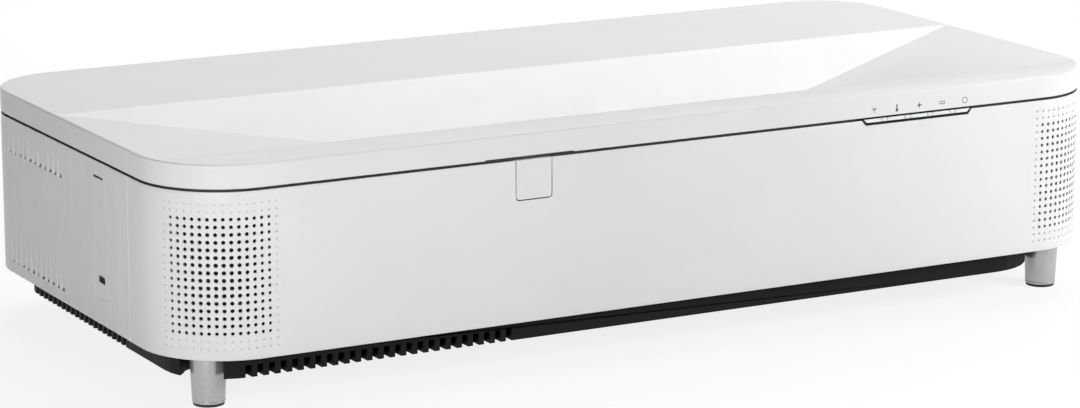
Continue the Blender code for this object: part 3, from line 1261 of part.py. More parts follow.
def main():
    for thing in list(bpy.data.objects):
        bpy.data.objects.remove(thing, do_unlink=True)
    white = make_material('white_plastic', (0.84, 0.84, 0.84), 0.45)
    black = make_material('black_plastic', (0.018, 0.018, 0.018), 0.5)
    grey = make_material('grey_plastic', (0.35, 0.35, 0.36), 0.5)
    rubber = make_material('rubber', (0.03, 0.03, 0.03), 0.85)
    metal = make_material('satin_metal', (0.62, 0.62, 0.63), 0.32, metallic=1.0)
    silver = make_material('aluminium', (0.75, 0.75, 0.76), 0.4, metallic=1.0)
    copper = make_material('copper', (0.80, 0.45, 0.30), 0.3, metallic=1.0)
    glass = make_material('dark_glass', (0.05, 0.05, 0.06), 0.05, transmission=0.6)
    clear = make_material('clear_plastic', (0.9, 0.9, 0.9), 0.2, transmission=0.5)
    mirror = make_material('mirror_coat', (0.9, 0.9, 0.9), 0.03, metallic=1.0)
    paper = make_material('paper', (0.10, 0.10, 0.10), 0.9)
    media = make_material('filter_paper', (0.75, 0.74, 0.70), 0.95)
    cloth = make_material('cloth', (0.01, 0.01, 0.01), 0.95)
    green = make_material('circuit_board', (0.02, 0.16, 0.07), 0.4)
    steel = make_material('plated_steel', (0.5, 0.5, 0.5), 0.35, metallic=1.0)
    brass = make_material('brass', (0.70, 0.55, 0.28), 0.35, metallic=1.0)
    lens_glass = make_material('lens_glass', (0.9, 0.93, 0.96), 0.03, transmission=0.9)
    phosphor = make_material('phosphor_disc', (0.75, 0.72, 0.35), 0.6)

    build_lid(white)
    build_lid_frame(black)
    build_window(glass, black)
    build_front_shell(white)
    build_receiver_window(white)
    build_indicators(black, clear)
    build_left_cover(white)
    build_cover_latch(black)
    build_right_cover(white)
    build_power_key(grey)
    build_rear_panel(white)
    build_sockets(steel, black)
    build_inlet(black)
    build_tray(black)
    build_screws(steel)
    for side, name in ((-1, 'left'), (1, 'right')):
        build_front_foot(side, name, metal, rubber)
        build_rear_foot(side, name, rubber)
        build_speaker(side, name, black, paper)
        build_cloth(side, name, cloth)
    build_fan('rear_exhaust_fan', fan_place(EXHAUST_X, REAR_FAN_FRONT, PLATE_SEAT), black, grey)
    build_fan('front_exhaust_fan', fan_place(EXHAUST_X, FRONT_FAN_FRONT, PLATE_SEAT), black, grey)
    build_fan('intake_fan', fan_place(INTAKE_X, INTAKE_FAN_FRONT, FLOOR_SEAT), black, grey)
    build_filter(grey, media)
    build_lens(black, lens_glass)
    build_focus_drive(black, metal, brass)
    build_mirror(mirror, black)
    build_engine(black)
    build_light_source(silver, metal, phosphor)
    build_cooling(silver, copper)
    build_board(green)
    build_supply(green)


main()
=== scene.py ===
"""Looks of the home projector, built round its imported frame.

The frame gives the places of the CAD pieces. Lengths are in metres; named details are given in
millimetres times MM. Front is -Y, up is +Z.
"""
import json
import math

import bmesh
import bpy
from mathutils import Euler, Matrix, Vector


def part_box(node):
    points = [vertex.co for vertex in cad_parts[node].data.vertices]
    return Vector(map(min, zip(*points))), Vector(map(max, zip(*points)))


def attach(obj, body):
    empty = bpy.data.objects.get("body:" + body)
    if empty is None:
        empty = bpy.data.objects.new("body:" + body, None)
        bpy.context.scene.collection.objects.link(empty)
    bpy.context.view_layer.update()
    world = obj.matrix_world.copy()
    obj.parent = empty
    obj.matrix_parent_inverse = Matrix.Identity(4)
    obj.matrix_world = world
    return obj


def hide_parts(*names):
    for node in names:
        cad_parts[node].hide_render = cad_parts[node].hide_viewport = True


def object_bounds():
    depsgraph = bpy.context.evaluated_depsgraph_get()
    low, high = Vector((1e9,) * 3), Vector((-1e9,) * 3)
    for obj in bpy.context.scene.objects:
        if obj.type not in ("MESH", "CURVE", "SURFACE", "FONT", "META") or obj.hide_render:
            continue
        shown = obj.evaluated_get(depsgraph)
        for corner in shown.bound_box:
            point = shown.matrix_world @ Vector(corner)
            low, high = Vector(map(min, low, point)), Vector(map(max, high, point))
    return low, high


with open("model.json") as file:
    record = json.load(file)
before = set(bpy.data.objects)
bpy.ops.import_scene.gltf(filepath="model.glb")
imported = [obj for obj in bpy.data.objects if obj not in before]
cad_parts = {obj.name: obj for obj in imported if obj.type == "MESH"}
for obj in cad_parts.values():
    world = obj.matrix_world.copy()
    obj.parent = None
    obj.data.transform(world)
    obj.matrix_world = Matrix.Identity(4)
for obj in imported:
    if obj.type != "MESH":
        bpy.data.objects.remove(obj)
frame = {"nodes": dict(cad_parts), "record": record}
cad_low, cad_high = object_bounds()

MM = 0.001

# -------- places from the frame
SHELL_LOW, SHELL_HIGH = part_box("front_shell")
HALF_WIDTH = SHELL_HIGH.x
HALF_DEPTH = -SHELL_LOW.y
SHELL_TOP = SHELL_HIGH.z
SHELL_BOTTOM = SHELL_LOW.z
SPLIT_Y = SHELL_HIGH.y
HEIGHT = cad_high.z


# -------- objects and meshes
def pairs(ring):
    """Each item of a closed ring with the one after it."""
    return list(zip(ring, ring[1:] + ring[:1]))


def bridge(bm, one, other):
    """Faces between two closed rings with as many corners each; a pole is one corner repeated."""
    for (a, b), (c, d) in zip(pairs(one), pairs(other)):
        bm.faces.new(list(dict.fromkeys((a, b, d, c))))


def add_object(name, data):
    thing = bpy.data.objects.new(name, data)
    bpy.context.scene.collection.objects.link(thing)
    return thing


def mesh_from(bm, name):
    mesh = bpy.data.meshes.new(name)
    bm.to_mesh(mesh)
    bm.free()
    return mesh


# -------- materials
def links_of(material):
    tree = material.node_tree
    return tree.nodes, tree.links, tree.nodes["Principled BSDF"]


def put(node, **values):
    """Sets a node's sockets, which are named with _ for a space."""
    for socket, value in values.items():
        node.inputs[socket.replace("_", " ")].default_value = value


def new_material(name, colour, roughness, metallic=0.0, **sockets):
    material = bpy.data.materials.new(name)
    material.use_nodes = True
    put(material.node_tree.nodes["Principled BSDF"], Base_Color=(*colour, 1.0),
        Roughness=roughness, Metallic=metallic, **sockets)
    return material


def noise(material, size, detail=3.0, stretch=(1, 1, 1)):
    """Noise whose blobs are about size metres across; stretch makes them longer along an axis."""
    nodes, links, _ = links_of(material)
    coordinates = nodes.new("ShaderNodeTexCoord")
    mapping = nodes.new("ShaderNodeMapping")
    put(mapping, Scale=[1 / part for part in stretch])
    texture = nodes.new("ShaderNodeTexNoise")
    put(texture, Scale=1 / size, Detail=detail)
    links.new(coordinates.outputs["Object"], mapping.inputs["Vector"])
    links.new(mapping.outputs["Vector"], texture.inputs["Vector"])
    return texture.outputs["Fac"]


def vary_roughness(material, source, low, high):
    nodes, links, shader = links_of(material)
    spread = nodes.new("ShaderNodeMapRange")
    put(spread, From_Min=0.3, From_Max=0.7, To_Min=low, To_Max=high)
    links.new(source, spread.inputs["Value"])
    links.new(spread.outputs["Result"], shader.inputs["Roughness"])


def vary_colour(material, source, dark, light):
    nodes, links, shader = links_of(material)
    ramp = nodes.new("ShaderNodeValToRGB")
    for stop, place, colour in zip(ramp.color_ramp.elements, (0.35, 0.65), (dark, light)):
        stop.position = place
        stop.color = (*colour, 1.0)
    links.new(source, ramp.inputs["Fac"])
    links.new(ramp.outputs["Color"], shader.inputs["Base Color"])


def bump(material, source, depth):
    """Relief of about depth metres; several bumps add up."""
    nodes, links, shader = links_of(material)
    node = nodes.new("ShaderNodeBump")
    put(node, Distance=depth)
    links.new(source, node.inputs["Height"])
    before = shader.inputs["Normal"].links
    if before:
        links.new(before[0].from_socket, node.inputs["Normal"])
    links.new(node.outputs["Normal"], shader.inputs["Normal"])


def tinted(colour, factor):
    return tuple(min(1.0, part * factor) for part in colour)


def moulded(name, colour, roughness, grain=0.45 * MM, depth=0.012 * MM, **sockets):
    """Injection-moulded plastic: fine spark-eroded grain, slow drift in colour and gloss."""
    material = new_material(name, colour, roughness, **sockets)
    drift = noise(material, 90 * MM, 2.0)
    vary_colour(material, drift, tinted(colour, 0.985), tinted(colour, 1.01))
    vary_roughness(material, noise(material, 14 * MM, 4.0), roughness - 0.03, roughness + 0.04)
    bump(material, noise(material, grain, 2.0), depth)
    return material


def metal(name, colour, roughness, stretch, line=0.25 * MM, depth=0.003 * MM, metallic=1.0):
    """Machined or drawn metal with fine lines along the stretched axis."""
    material = new_material(name, colour, roughness, metallic=metallic)
    lines = noise(material, line, 3.0, stretch)
    vary_roughness(material, lines, roughness - 0.07, roughness + 0.08)
    vary_colour(material, noise(material, 9 * MM, 2.0), tinted(colour, 0.95), tinted(colour, 1.02))
    bump(material, lines, depth)
    return material


def polished(name, colour, roughness, size, low, high, **sockets):
    """Mirror or glass whose gloss drifts slowly between two roughnesses."""
    material = new_material(name, colour, roughness, **sockets)
    vary_roughness(material, noise(material, size), low, high)
    return material


def woven(name, colour, thread):
    """Plain weave: crossing threads along the height and along the width."""
    material = new_material(name, colour, 0.9)
    nodes, links, _ = links_of(material)
    coordinates = nodes.new("ShaderNodeTexCoord")
    crossed = nodes.new("ShaderNodeMath")
    crossed.operation = "MULTIPLY"
    for index, direction in enumerate(("X", "Z")):
        wave = nodes.new("ShaderNodeTexWave")
        wave.bands_direction = direction
        put(wave, Scale=math.pi / (10 * thread))
        links.new(coordinates.outputs["Object"], wave.inputs["Vector"])
        links.new(wave.outputs["Fac"], crossed.inputs[index])
    vary_colour(material, crossed.outputs[0], tinted(colour, 0.5), tinted(colour, 1.6))
    bump(material, crossed.outputs[0], thread / 4)
    return material


SLOT_MATERIALS = {
    "white_plastic": moulded("white_shell", (0.80, 0.80, 0.80), 0.36),
    "black_plastic": moulded("black_moulding", (0.0045, 0.0045, 0.005), 0.58, 0.6 * MM, 0.02 * MM,
                             Specular_IOR_Level=0.16),
    "grey_plastic": moulded("grey_moulding", (0.17, 0.17, 0.175), 0.45),
    "clear_plastic": moulded("milky_clear", (0.85, 0.87, 0.88), 0.22, depth=0.004 * MM),
    "rubber": moulded("black_rubber", (0.014, 0.014, 0.014), 0.72, 0.9 * MM, 0.04 * MM),
    "satin_metal": metal("turned_metal", (0.47, 0.47, 0.48), 0.30, (1, 1, 0.1), 0.8 * MM,
                         0.0006 * MM, 0.55),
    "aluminium": metal("extruded_aluminium", (0.62, 0.62, 0.63), 0.36, (14, 1, 1)),
    "plated_steel": metal("plated_steel", (0.50, 0.50, 0.51), 0.28, (1, 8, 1)),
    "copper": metal("copper_pipe", (0.72, 0.35, 0.22), 0.28, (14, 1, 1)),
    "brass": metal("brass_gear", (0.66, 0.48, 0.19), 0.30, (1, 6, 1)),
    "mirror_coat": polished("mirror_coat", (0.90, 0.90, 0.91), 0.02, 30 * MM, 0.015, 0.035,
                            metallic=1.0),
    "dark_glass": polished("coated_glass", (0.012, 0.013, 0.018), 0.04, 22 * MM, 0.03, 0.07,
                           Coat_Weight=0.6, Coat_Roughness=0.02),
    "lens_glass": polished("lens_glass", (0.75, 0.80, 0.86), 0.02, 12 * MM, 0.01, 0.03,
                           Transmission_Weight=0.85),
    "paper": moulded("pressed_paper", (0.012, 0.012, 0.012), 0.85, 1.4 * MM, 0.06 * MM),
    "filter_paper": moulded("filter_paper", (0.72, 0.70, 0.65), 0.92, 0.8 * MM, 0.08 * MM),
    "circuit_board": moulded("solder_mask", (0.010, 0.085, 0.032), 0.32, 2.2 * MM, 0.01 * MM),
    "phosphor_disc": moulded("phosphor_ring", (0.68, 0.62, 0.16), 0.6, 0.5 * MM, 0.02 * MM),
    "cloth": woven("grille_weave", (0.010, 0.010, 0.010), 0.5 * MM),
}
# Ring under the lid: a real frame that carries the lid, and its dark grey is also painted shade
# standing for the shadow in the seam between lid and covers
FRAME_AND_SEAM_SHADE = moulded("frame_black_and_seam_shade", (0.030, 0.030, 0.031), 0.6)
PRINT = moulded("grey_print", (0.085, 0.085, 0.09), 0.6, 0.3 * MM, 0.004 * MM)
OWN_MATERIALS = {"lid_frame": FRAME_AND_SEAM_SHADE, "indicator_symbols": PRINT, "indicator_backing": PRINT}


def material_for(name, slot):
    return OWN_MATERIALS.get(name, SLOT_MATERIALS[slot])


def dress_frame():
    """Every CAD node gets its slot's material; the pieces that replace a node come later."""
    for part in frame["record"]["subparts"]:
        node = frame["nodes"][part["node"]]
        node.data.materials.clear()
        node.data.materials.append(material_for(part["node"], part["material_slot"]))


# -------- named details
# As in the CAD model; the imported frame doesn't state these
WALL = 2.5 * MM
FRONT_RADIUS = 56.4 * MM
REAR_RADIUS = 51.6 * MM
PART_GAP = 0.4 * MM
RECESS_FRONT = -HALF_DEPTH + 34 * MM
RECESS_REAR = HALF_DEPTH - 140 * MM
VALLEY_Y = -HALF_DEPTH + 104.5 * MM
VALLEY_HALF = 112.8 * MM
VALLEY_DEPTH = 33.3 * MM
TAB_SLANT = 4.2 * MM
KEY_RADIUS = 6 * MM
WINDOW_HEIGHT = 56 * MM

# Walls and their edges
WALL_SKIN = 1.1 * MM  # thinner than the CAD wall, so that the small holes look open
SIDE_SKIN = 0.6 * MM
LID_SKIN = 2.5 * MM
EDGE_RADIUS = 0.6 * MM  # moulded edges of the covers
PARTING = 0.45 * MM  # the same at the vertical joints
LID_EDGE = 1.5 * MM
FIT = 0.3 * MM  # clearance round what sits in an opening
CUT_MARGIN = 3 * MM  # from an opening in the front to the net around it
BEND_STEP = 3 * MM  # between the lines across a bend
TAB_STEP = 8 * MM  # between the lines along the tab
SMOOTH_ANGLE = 35  # degrees
CAD_SMOOTH_ANGLE = 38
CAD_FLAT_ANGLE = 1  # up to which the CAD pieces' triangles are joined
CAD_SOFT_ANGLE = 40  # from which their edges are rounded
FLUTE_ANGLE = 4.0  # degrees; low, so that the ridges between the flutes stay crisp
CREASE_ANGLE = 3.0  # degrees, where two broad faces of the lid meet
EDGE_ANGLE = 32.0  # degrees, elsewhere on the lid
BROAD = 0.8 * MM  # least area over perimeter of a broad face
RECEIVER_CORNER = 2.5 * MM
RECEIVER_INSET = 0.38 * MM
RECEIVER_SINK = 0.02 * MM
RECEIVER_EDGE = 0.35 * MM

# Perforated corners: distances along the outline from where the side's straight run ends
GRILLE_COLUMNS = 16
GRILLE_ROWS = 20
COLUMN_PITCH = 4.82 * MM
ROW_PITCH = 4.75 * MM
LEFT_GRILLE = 26.0 * MM
RIGHT_GRILLE = 21.8 * MM
GRILLE_DROP = 24.4 * MM  # first row below the lid's top
HOLE_MIDDLE = 1.42 * MM  # radius of the middle holes
HOLE_EDGE = 1.0 * MM
DIMPLE_RADIUS = 0.72 * MM
DIMPLE_DEPTH = 0.9 * MM
HOLE_SIDES = 12

# Side covers
FLUTE_PITCH = 19.2 * MM
FLUTE_DEPTH = 0.45 * MM
LOUVRE_COUNT = 11
LOUVRE_PITCH = 8.9 * MM
LOUVRE_WIDTH = 5.2 * MM
LOUVRE_REAR = HALF_DEPTH - 54.5 * MM
LOUVRE_DEPTH = 0.55 * MM
LOUVRE_GAP = 3.0 * MM  # height of the opening under each scoop
LOUVRE_SIDE = 0.35 * MM
LIP = 0.4 * MM  # wall left standing under each opening
UPPER_LOUVRES = (SHELL_TOP - 23 * MM, SHELL_TOP - 6 * MM)
LOWER_LOUVRES = (SHELL_BOTTOM + 7.2 * MM, SHELL_BOTTOM + 36.2 * MM)


# -------- outlines seen from above
def straight(start, end):
    """A straight run: its length, and its place and outward direction at a distance along it."""
    start, end = Vector(start), Vector(end)
    along = (end - start).normalized()
    outward = Vector((along.y, -along.x))
    return (end - start).length, lambda s: (start + along * s, outward)


def bend(centre, radius, start):
    """A quarter circle walked counter-clockwise from the start angle in degrees."""
    def at(s):
        angle = math.radians(start) + s / radius
        outward = Vector((math.cos(angle), math.sin(angle)))
        return Vector(centre) + outward * radius, outward
    return radius * math.pi / 2, at


def follow(*runs):
    """Place and outward direction at a distance along several runs, end to end."""
    def at(s):
        for length, place in runs[:-1]:
            if s <= length:
                return place(s)
            s -= length
        return runs[-1][1](s)
    return at


def spaced(start, stop, step):
    """Evenly spaced values from start to stop, no further apart than step."""
    count = max(1, math.ceil(abs(stop - start) / step - 1e-6))
    return [start + (stop - start) * index / count for index in range(count + 1)]


def tidy_lines(lines):
    """Sorted, with near doubles dropped."""
    kept = []
    for value in sorted(lines):
        if not kept or value - kept[-1] > 0.02 * MM:
            kept.append(value)
    return kept


def fillet_lines(edge, inwards, radius=EDGE_RADIUS):
    """Lines across a rounded edge; inwards is 1 or -1 along the wall."""
    return [edge + inwards * radius * share for share in (0, 0.15, 0.5, 1)]


def fillet_depth(distance, radius=EDGE_RADIUS):
    """How far a rounded edge falls back at a distance from the edge."""
    if distance >= radius:
        return 0.0
    return radius - math.sqrt(max(0.0, radius ** 2 - (radius - distance) ** 2))


# -------- walls with relief and openings
def on_circle(centre, radius, turns):
    return [(centre[0] + radius * math.cos(turn), centre[1] + radius * math.sin(turn))
            for turn in turns]


def ring_points(centre, radius, count=HOLE_SIDES):
    return on_circle(centre, radius, [2 * math.pi * (index + 0.5) / count for index in range(count)])


def arc_points(centre, radius, start, end, steps=14):
    """Points along an arc between two angles in degrees."""
    return on_circle(centre, radius, [math.radians(start + (end - start) * step / steps)
                                      for step in range(steps + 1)])


BOX_STEPS = 4  # in each corner of a rounded box
QUARTER = [math.radians(22.5 * step) for step in range(5)]  # angles round a rounded edge


def rounded_box(left, right, bottom, top, radius):
    """Rounded rectangle, counter-clockwise from its upper right corner."""
    points = []
    for x, z, start in ((right - radius, top - radius, 0), (left + radius, top - radius, 90),
                        (left + radius, bottom + radius, 180), (right - radius, bottom + radius, 270)):
        points += arc_points((x, z), radius, start, start + 90, BOX_STEPS)
    return points


def open_box(left, right, bottom, top, radius):
    """The same with square upper corners, from the upper left one."""
    lower = rounded_box(left, right, bottom, top, radius)[2 * (BOX_STEPS + 1):]
    return [(left, top)] + lower + [(right, top)]


def stitch(bm, outer, inner, closed):
    """Triangles between two counter-clockwise chains of ((s, z), vertex), by the shorter diagonal."""
    if closed:
        start = min(range(len(inner)), key=lambda index: math.dist(inner[index][0], outer[0][0]))
        inner = inner[start:] + inner[:start + 1]
        outer = outer + outer[:1]
    i = j = 0
    while i < len(outer) - 1 or j < len(inner) - 1:
        if j == len(inner) - 1:
            outwards = True
        elif i == len(outer) - 1:
            outwards = False
        else:
            outwards = (math.dist(outer[i + 1][0], inner[j][0])
                        <= math.dist(outer[i][0], inner[j + 1][0]))
        if outwards:
            bm.faces.new((outer[i][1], outer[i + 1][1], inner[j][1]))
            i += 1
        else:
            bm.faces.new((outer[i][1], inner[j + 1][1], inner[j][1]))
            j += 1


def wall_sheet(path, s_lines, z_lines, relief, cuts=(), gaps=()):
    """Outer face of a wall: a net of lines along the outline and up it, pressed in by relief.

    A cut is (s0, s1, z0, z1, outline, depth): the net inside the block gives way to the
    outline, which is a hole, or a flat-bottomed recess where depth isn't None. A block that
    reaches the top line is open upwards. A gap is (s0, s1, z0, z1, side): half of that cell is left
    out, under the diagonal that falls towards side.
    """
    bm = bmesh.new()
    s_lines, z_lines = tidy_lines(s_lines), tidy_lines(z_lines)
    net = {}

    def vertex(s, z, extra=0.0):
        point, outward = path(s)
        point = point - outward * (relief(s, z) + extra)
        return bm.verts.new((point.x, point.y, z))

    def knot(i, j):
        if (i, j) not in net:
            net[i, j] = vertex(s_lines[i], z_lines[j])
        return net[i, j]

    def nearest(lines, value):
        return min(range(len(lines)), key=lambda index: abs(lines[index] - value))

    taken = set()
    for s0, s1, z0, z1, outline, depth in cuts:
        i0, i1 = nearest(s_lines, s0), nearest(s_lines, s1)
        j0, j1 = nearest(z_lines, z0), nearest(z_lines, z1)
        taken.update((i, j) for i in range(i0, i1) for j in range(j0, j1))
        border = [(i0, j) for j in range(j1, j0, -1)] + [(i, j0) for i in range(i0, i1)]
        border += [(i1, j) for j in range(j0, j1)]
        open_top = j1 == len(z_lines) - 1 and depth is None
        border += [(i1, j1)] if open_top else [(i, j1) for i in range(i1, i0, -1)]
        outer = [((s_lines[i], z_lines[j]), knot(i, j)) for i, j in border]
        inner = [(place, vertex(*place)) for place in outline]
        stitch(bm, outer, inner, not open_top)
        if depth is not None:
            floor = [vertex(*place, depth) for place in outline]
            bridge(bm, [upper for _, upper in inner], floor)
            bm.faces.new(floor)
    halves = {}
    for s0, s1, z0, z1, side in gaps:
        halves[nearest(s_lines, s0), nearest(z_lines, z0)] = side
    for i in range(len(s_lines) - 1):
        for j in range(len(z_lines) - 1):
            if (i, j) in taken:
                continue
            corners = [knot(i, j), knot(i + 1, j), knot(i + 1, j + 1), knot(i, j + 1)]
            if (i, j) in halves:
                del corners[1 if halves[i, j] > 0 else 0]
            bm.faces.new(corners)
    return bm


# -------- making pieces
def shade(mesh, degrees=SMOOTH_ANGLE):
    mesh.shade_smooth()
    mesh.set_sharp_from_angle(angle=math.radians(degrees))


def make_piece(name, bm, body, slot, replaced=()):
    """A finished piece that rides on a body and stands for the CAD nodes it replaces."""
    bm.normal_update()
    mesh = mesh_from(bm, name)
    mesh.materials.append(material_for(name, slot))
    thing = add_object(name, mesh)
    shade(mesh)
    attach(thing, body)
    if replaced:
        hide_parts(*replaced)
    return thing


def settle(thing, smooth=SMOOTH_ANGLE):
    """Applies the modifiers to the mesh and shades the result."""
    graph = bpy.context.evaluated_depsgraph_get()
    mesh = bpy.data.meshes.new_from_object(thing.evaluated_get(graph), depsgraph=graph)
    thing.modifiers.clear()
    thing.data = mesh
    shade(mesh, smooth)


def thicken(thing, thickness, smooth=SMOOTH_ANGLE):
    """Gives a sheet its thickness, inwards."""
    solid = thing.modifiers.new("wall", "SOLIDIFY")
    solid.thickness = thickness
    solid.offset = -1
    solid.use_even_offset = False
    settle(thing, smooth)


def cut_away(thing, bm):
    """Takes the closed body bm out of a piece."""
    bmesh.ops.recalc_face_normals(bm, faces=bm.faces)
    mesh = mesh_from(bm, "tool")
    tool = add_object("tool", mesh)
    modifier = thing.modifiers.new("shape", "BOOLEAN")
    modifier.operation = "DIFFERENCE"
    modifier.solver = "MANIFOLD"
    modifier.object = tool
    settle(thing)
    bpy.data.objects.remove(tool, do_unlink=True)
    bpy.data.meshes.remove(mesh)


def round_front(bm, front_y, width, segments):
    """Rounds the edges of the face at front_y."""
    edges = [edge for edge in bm.edges
             if all(vert.co.y < front_y + 0.1 * MM for vert in edge.verts)]
    bmesh.ops.bevel(bm, geom=edges, offset=width, segments=segments, affect="EDGES", profile=0.5)


def add_prism(bm, outline, low, high, place):
    """A closed prism: place(u, v, w) gives the corner at outline point (u, v) and height w."""
    lower, upper = [[bm.verts.new(place(u, v, w)) for u, v in outline] for w in (low, high)]
    bm.faces.new(list(reversed(lower)))
    bm.faces.new(upper)
    bridge(bm, lower, upper)


def cut_prism(thing, *prism):
    tool = bmesh.new()
    add_prism(tool, *prism)
    cut_away(thing, tool)


def add_band(bm, outer, inner, low, high, place):
    """A closed frame between two outlines with as many points each."""
    rings = [[bm.verts.new(place(u, v, w)) for u, v in outline]
             for outline, w in ((outer, low), (outer, high), (inner, high), (inner, low))]
    for one, other in pairs(rings):
        bridge(bm, one, other)


def facing_front(u, v, w):
    """Drawn on the front face: u to the right, v up, w out of the face."""
    return (u, -w, v)


def facing_up(u, v, w):
    return (u, v, w)


def add_turned(bm, profile, steps, place):
    """A closed body turned from (radius, height) points, the first and last of them on its axis.

    place(x, y, height) sets it in the cabinet.
    """
    turns = [2 * math.pi * index / steps for index in range(steps)]
    rings = []
    for radius, height in profile:
        if radius == 0:
            rings.append([bm.verts.new(place(0, 0, height))] * steps)
        else:
            rings.append([bm.verts.new(place(radius * math.cos(turn), radius * math.sin(turn), height))
                          for turn in turns])
    for one, other in zip(rings, rings[1:]):
        bridge(bm, one, other)
    bmesh.ops.recalc_face_normals(bm, faces=bm.faces)


# -------- front shell
FRONT_SIDE_RUN = SPLIT_Y + HALF_DEPTH - FRONT_RADIUS
FRONT_BEND = FRONT_RADIUS * math.pi / 2
FRONT_LENGTH = 2 * (FRONT_SIDE_RUN + FRONT_BEND) + 2 * (HALF_WIDTH - FRONT_RADIUS)


def front_path():
    x, y, r = HALF_WIDTH, -HALF_DEPTH, FRONT_RADIUS
    return follow(straight((-x, SPLIT_Y), (-x, y + r)), bend((-x + r, y + r), r, 180),
                  straight((-x + r, y), (x - r, y)), bend((x - r, y + r), r, 270),
                  straight((x, y + r), (x, SPLIT_Y)))


def front_s(x):
    """Distance along the front shell's outline of a place on its flat front."""
    return FRONT_SIDE_RUN + FRONT_BEND + x + HALF_WIDTH - FRONT_RADIUS


def grille(first):
    """Lines and cuts of one perforated corner; first is its first column along the outline."""
    top = HEIGHT - GRILLE_DROP
    s_lines = [first + COLUMN_PITCH * (column - 0.5) for column in range(GRILLE_COLUMNS + 1)]
    z_lines = [top - ROW_PITCH * (row - 0.5) for row in range(GRILLE_ROWS + 1)]
    cuts = []
    for column in range(GRILLE_COLUMNS):
        for row in range(GRILLE_ROWS):
            s = first + COLUMN_PITCH * column
            z = top - ROW_PITCH * row
            across = abs(2 * column / (GRILLE_COLUMNS - 1) - 1)
            up = abs(2 * row / (GRILLE_ROWS - 1) - 1)
            blind = column in (0, GRILLE_COLUMNS - 1) or row in (0, 1, GRILLE_ROWS - 2, GRILLE_ROWS - 1)
            radius = HOLE_MIDDLE - (HOLE_MIDDLE - HOLE_EDGE) * max(across, up) ** 2
            if blind:
                radius = DIMPLE_RADIUS
            cuts.append((s - COLUMN_PITCH / 2, s + COLUMN_PITCH / 2, z - ROW_PITCH / 2,
                         z + ROW_PITCH / 2, ring_points((s, z), radius),
                         DIMPLE_DEPTH if blind else None))
    return s_lines, z_lines, cuts


def rim_depth(z):
    """How far the rounded lower and upper edges of the covers fall back at a height."""
    return max(fillet_depth(z - SHELL_BOTTOM), fillet_depth(SHELL_TOP - z))


def make_front_shell():
    """Front wall with its perforated corners, open for the receiver window and the indicator tab."""
    left_lines, z_lines, cuts = grille(FRONT_SIDE_RUN + LEFT_GRILLE)
    right_first = FRONT_LENGTH - FRONT_SIDE_RUN - RIGHT_GRILLE - COLUMN_PITCH * (GRILLE_COLUMNS - 1)
    right_lines, _, right_cuts = grille(right_first)
    cuts += right_cuts
    s_lines = left_lines + right_lines
    s_lines += spaced(FRONT_SIDE_RUN, left_lines[0], BEND_STEP)
    s_lines += spaced(right_lines[-1], FRONT_LENGTH - FRONT_SIDE_RUN, BEND_STEP)
    s_lines += fillet_lines(0, 1) + fillet_lines(FRONT_LENGTH, -1)
    z_lines += fillet_lines(SHELL_BOTTOM, 1) + fillet_lines(SHELL_TOP, -1)

    def open_upwards(outline, bottom):
        left, right = outline[0][0] - CUT_MARGIN, outline[-1][0] + CUT_MARGIN
        s_lines.extend((left, right))
        z_lines.append(bottom)
        cuts.append((left, right, bottom, SHELL_TOP, outline, None))

    low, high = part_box("receiver_window")
    bottom = low.z - FIT
    open_upwards(open_box(front_s(low.x) - FIT, front_s(high.x) + FIT, bottom, SHELL_TOP,
                          RECEIVER_CORNER), bottom - CUT_MARGIN)

    low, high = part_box("indicator_bezel")
    slant = TAB_SLANT * (SHELL_TOP - low.z) / (high.z - low.z)
    left = front_s(low.x) - FIT + TAB_SLANT - slant
    right = front_s(high.x) + FIT - TAB_SLANT + slant
    bottom = low.z - FIT
    s_lines += spaced(left, right, TAB_STEP)
    open_upwards([(left, SHELL_TOP), (left + slant, bottom), (right - slant, bottom),
                  (right, SHELL_TOP)], HEIGHT - GRILLE_DROP + ROW_PITCH / 2)

    def relief(s, z):
        return max(rim_depth(z), fillet_depth(s, PARTING), fillet_depth(FRONT_LENGTH - s, PARTING))

    bm = wall_sheet(front_path(), s_lines, z_lines, relief, cuts)
    shell = make_piece("front_shell_skin", bm, "root", "white_plastic", ["front_shell"])
    thicken(shell, WALL_SKIN)


def make_receiver():
    """Flush square window over the remote control's eye."""
    low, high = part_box("receiver_window")
    outline = open_box(low.x + RECEIVER_INSET, high.x - RECEIVER_INSET, low.z + RECEIVER_INSET,
                       high.z, RECEIVER_CORNER - RECEIVER_INSET)
    bm = bmesh.new()
    add_prism(bm, outline, -high.y, -low.y - RECEIVER_SINK, facing_front)
    round_front(bm, low.y, RECEIVER_EDGE, 3)
    make_piece("receiver_cover", bm, "root", "white_plastic", ["receiver_window"])


# -------- side covers
SIDE_START = SPLIT_Y + PART_GAP
REAR_REACH = HALF_WIDTH - 57.5 * MM
SIDE_RUN = HALF_DEPTH - REAR_RADIUS - SIDE_START
REAR_BEND = REAR_RADIUS * math.pi / 2
BACK_RUN = HALF_WIDTH - REAR_RADIUS - REAR_REACH
SIDE_LENGTH = SIDE_RUN + REAR_BEND + BACK_RUN
SIDE_CUTS = (  # front, rear, bottom, top, corner radius, margin, depth
    # Latch slot
    (SPLIT_Y + 39.4 * MM, SPLIT_Y + 56 * MM, SHELL_TOP - 10.7 * MM, SHELL_TOP - 9.3 * MM,
     0.6 * MM, 0.7 * MM, None),
    # Lock slot
    (SPLIT_Y + 39.5 * MM, SPLIT_Y + 51 * MM, SHELL_BOTTOM + 27.3 * MM, SHELL_BOTTOM + 31.8 * MM,
     0.9 * MM, 0.7 * MM, None),
    # Shallow pad below the lock slot
    (SPLIT_Y + 38 * MM, SPLIT_Y + 57 * MM, SHELL_BOTTOM + 17 * MM, SHELL_BOTTOM + 26 * MM,
     0.9 * MM, 0.3 * MM, 0.35 * MM),
)
LOUVRE_MIDDLES = [LOUVRE_REAR - LOUVRE_WIDTH / 2 - LOUVRE_PITCH * index
                  for index in range(LOUVRE_COUNT)]
KEY_MARGIN = 1.5 * MM
KEY_HOLE_SIDES = 40


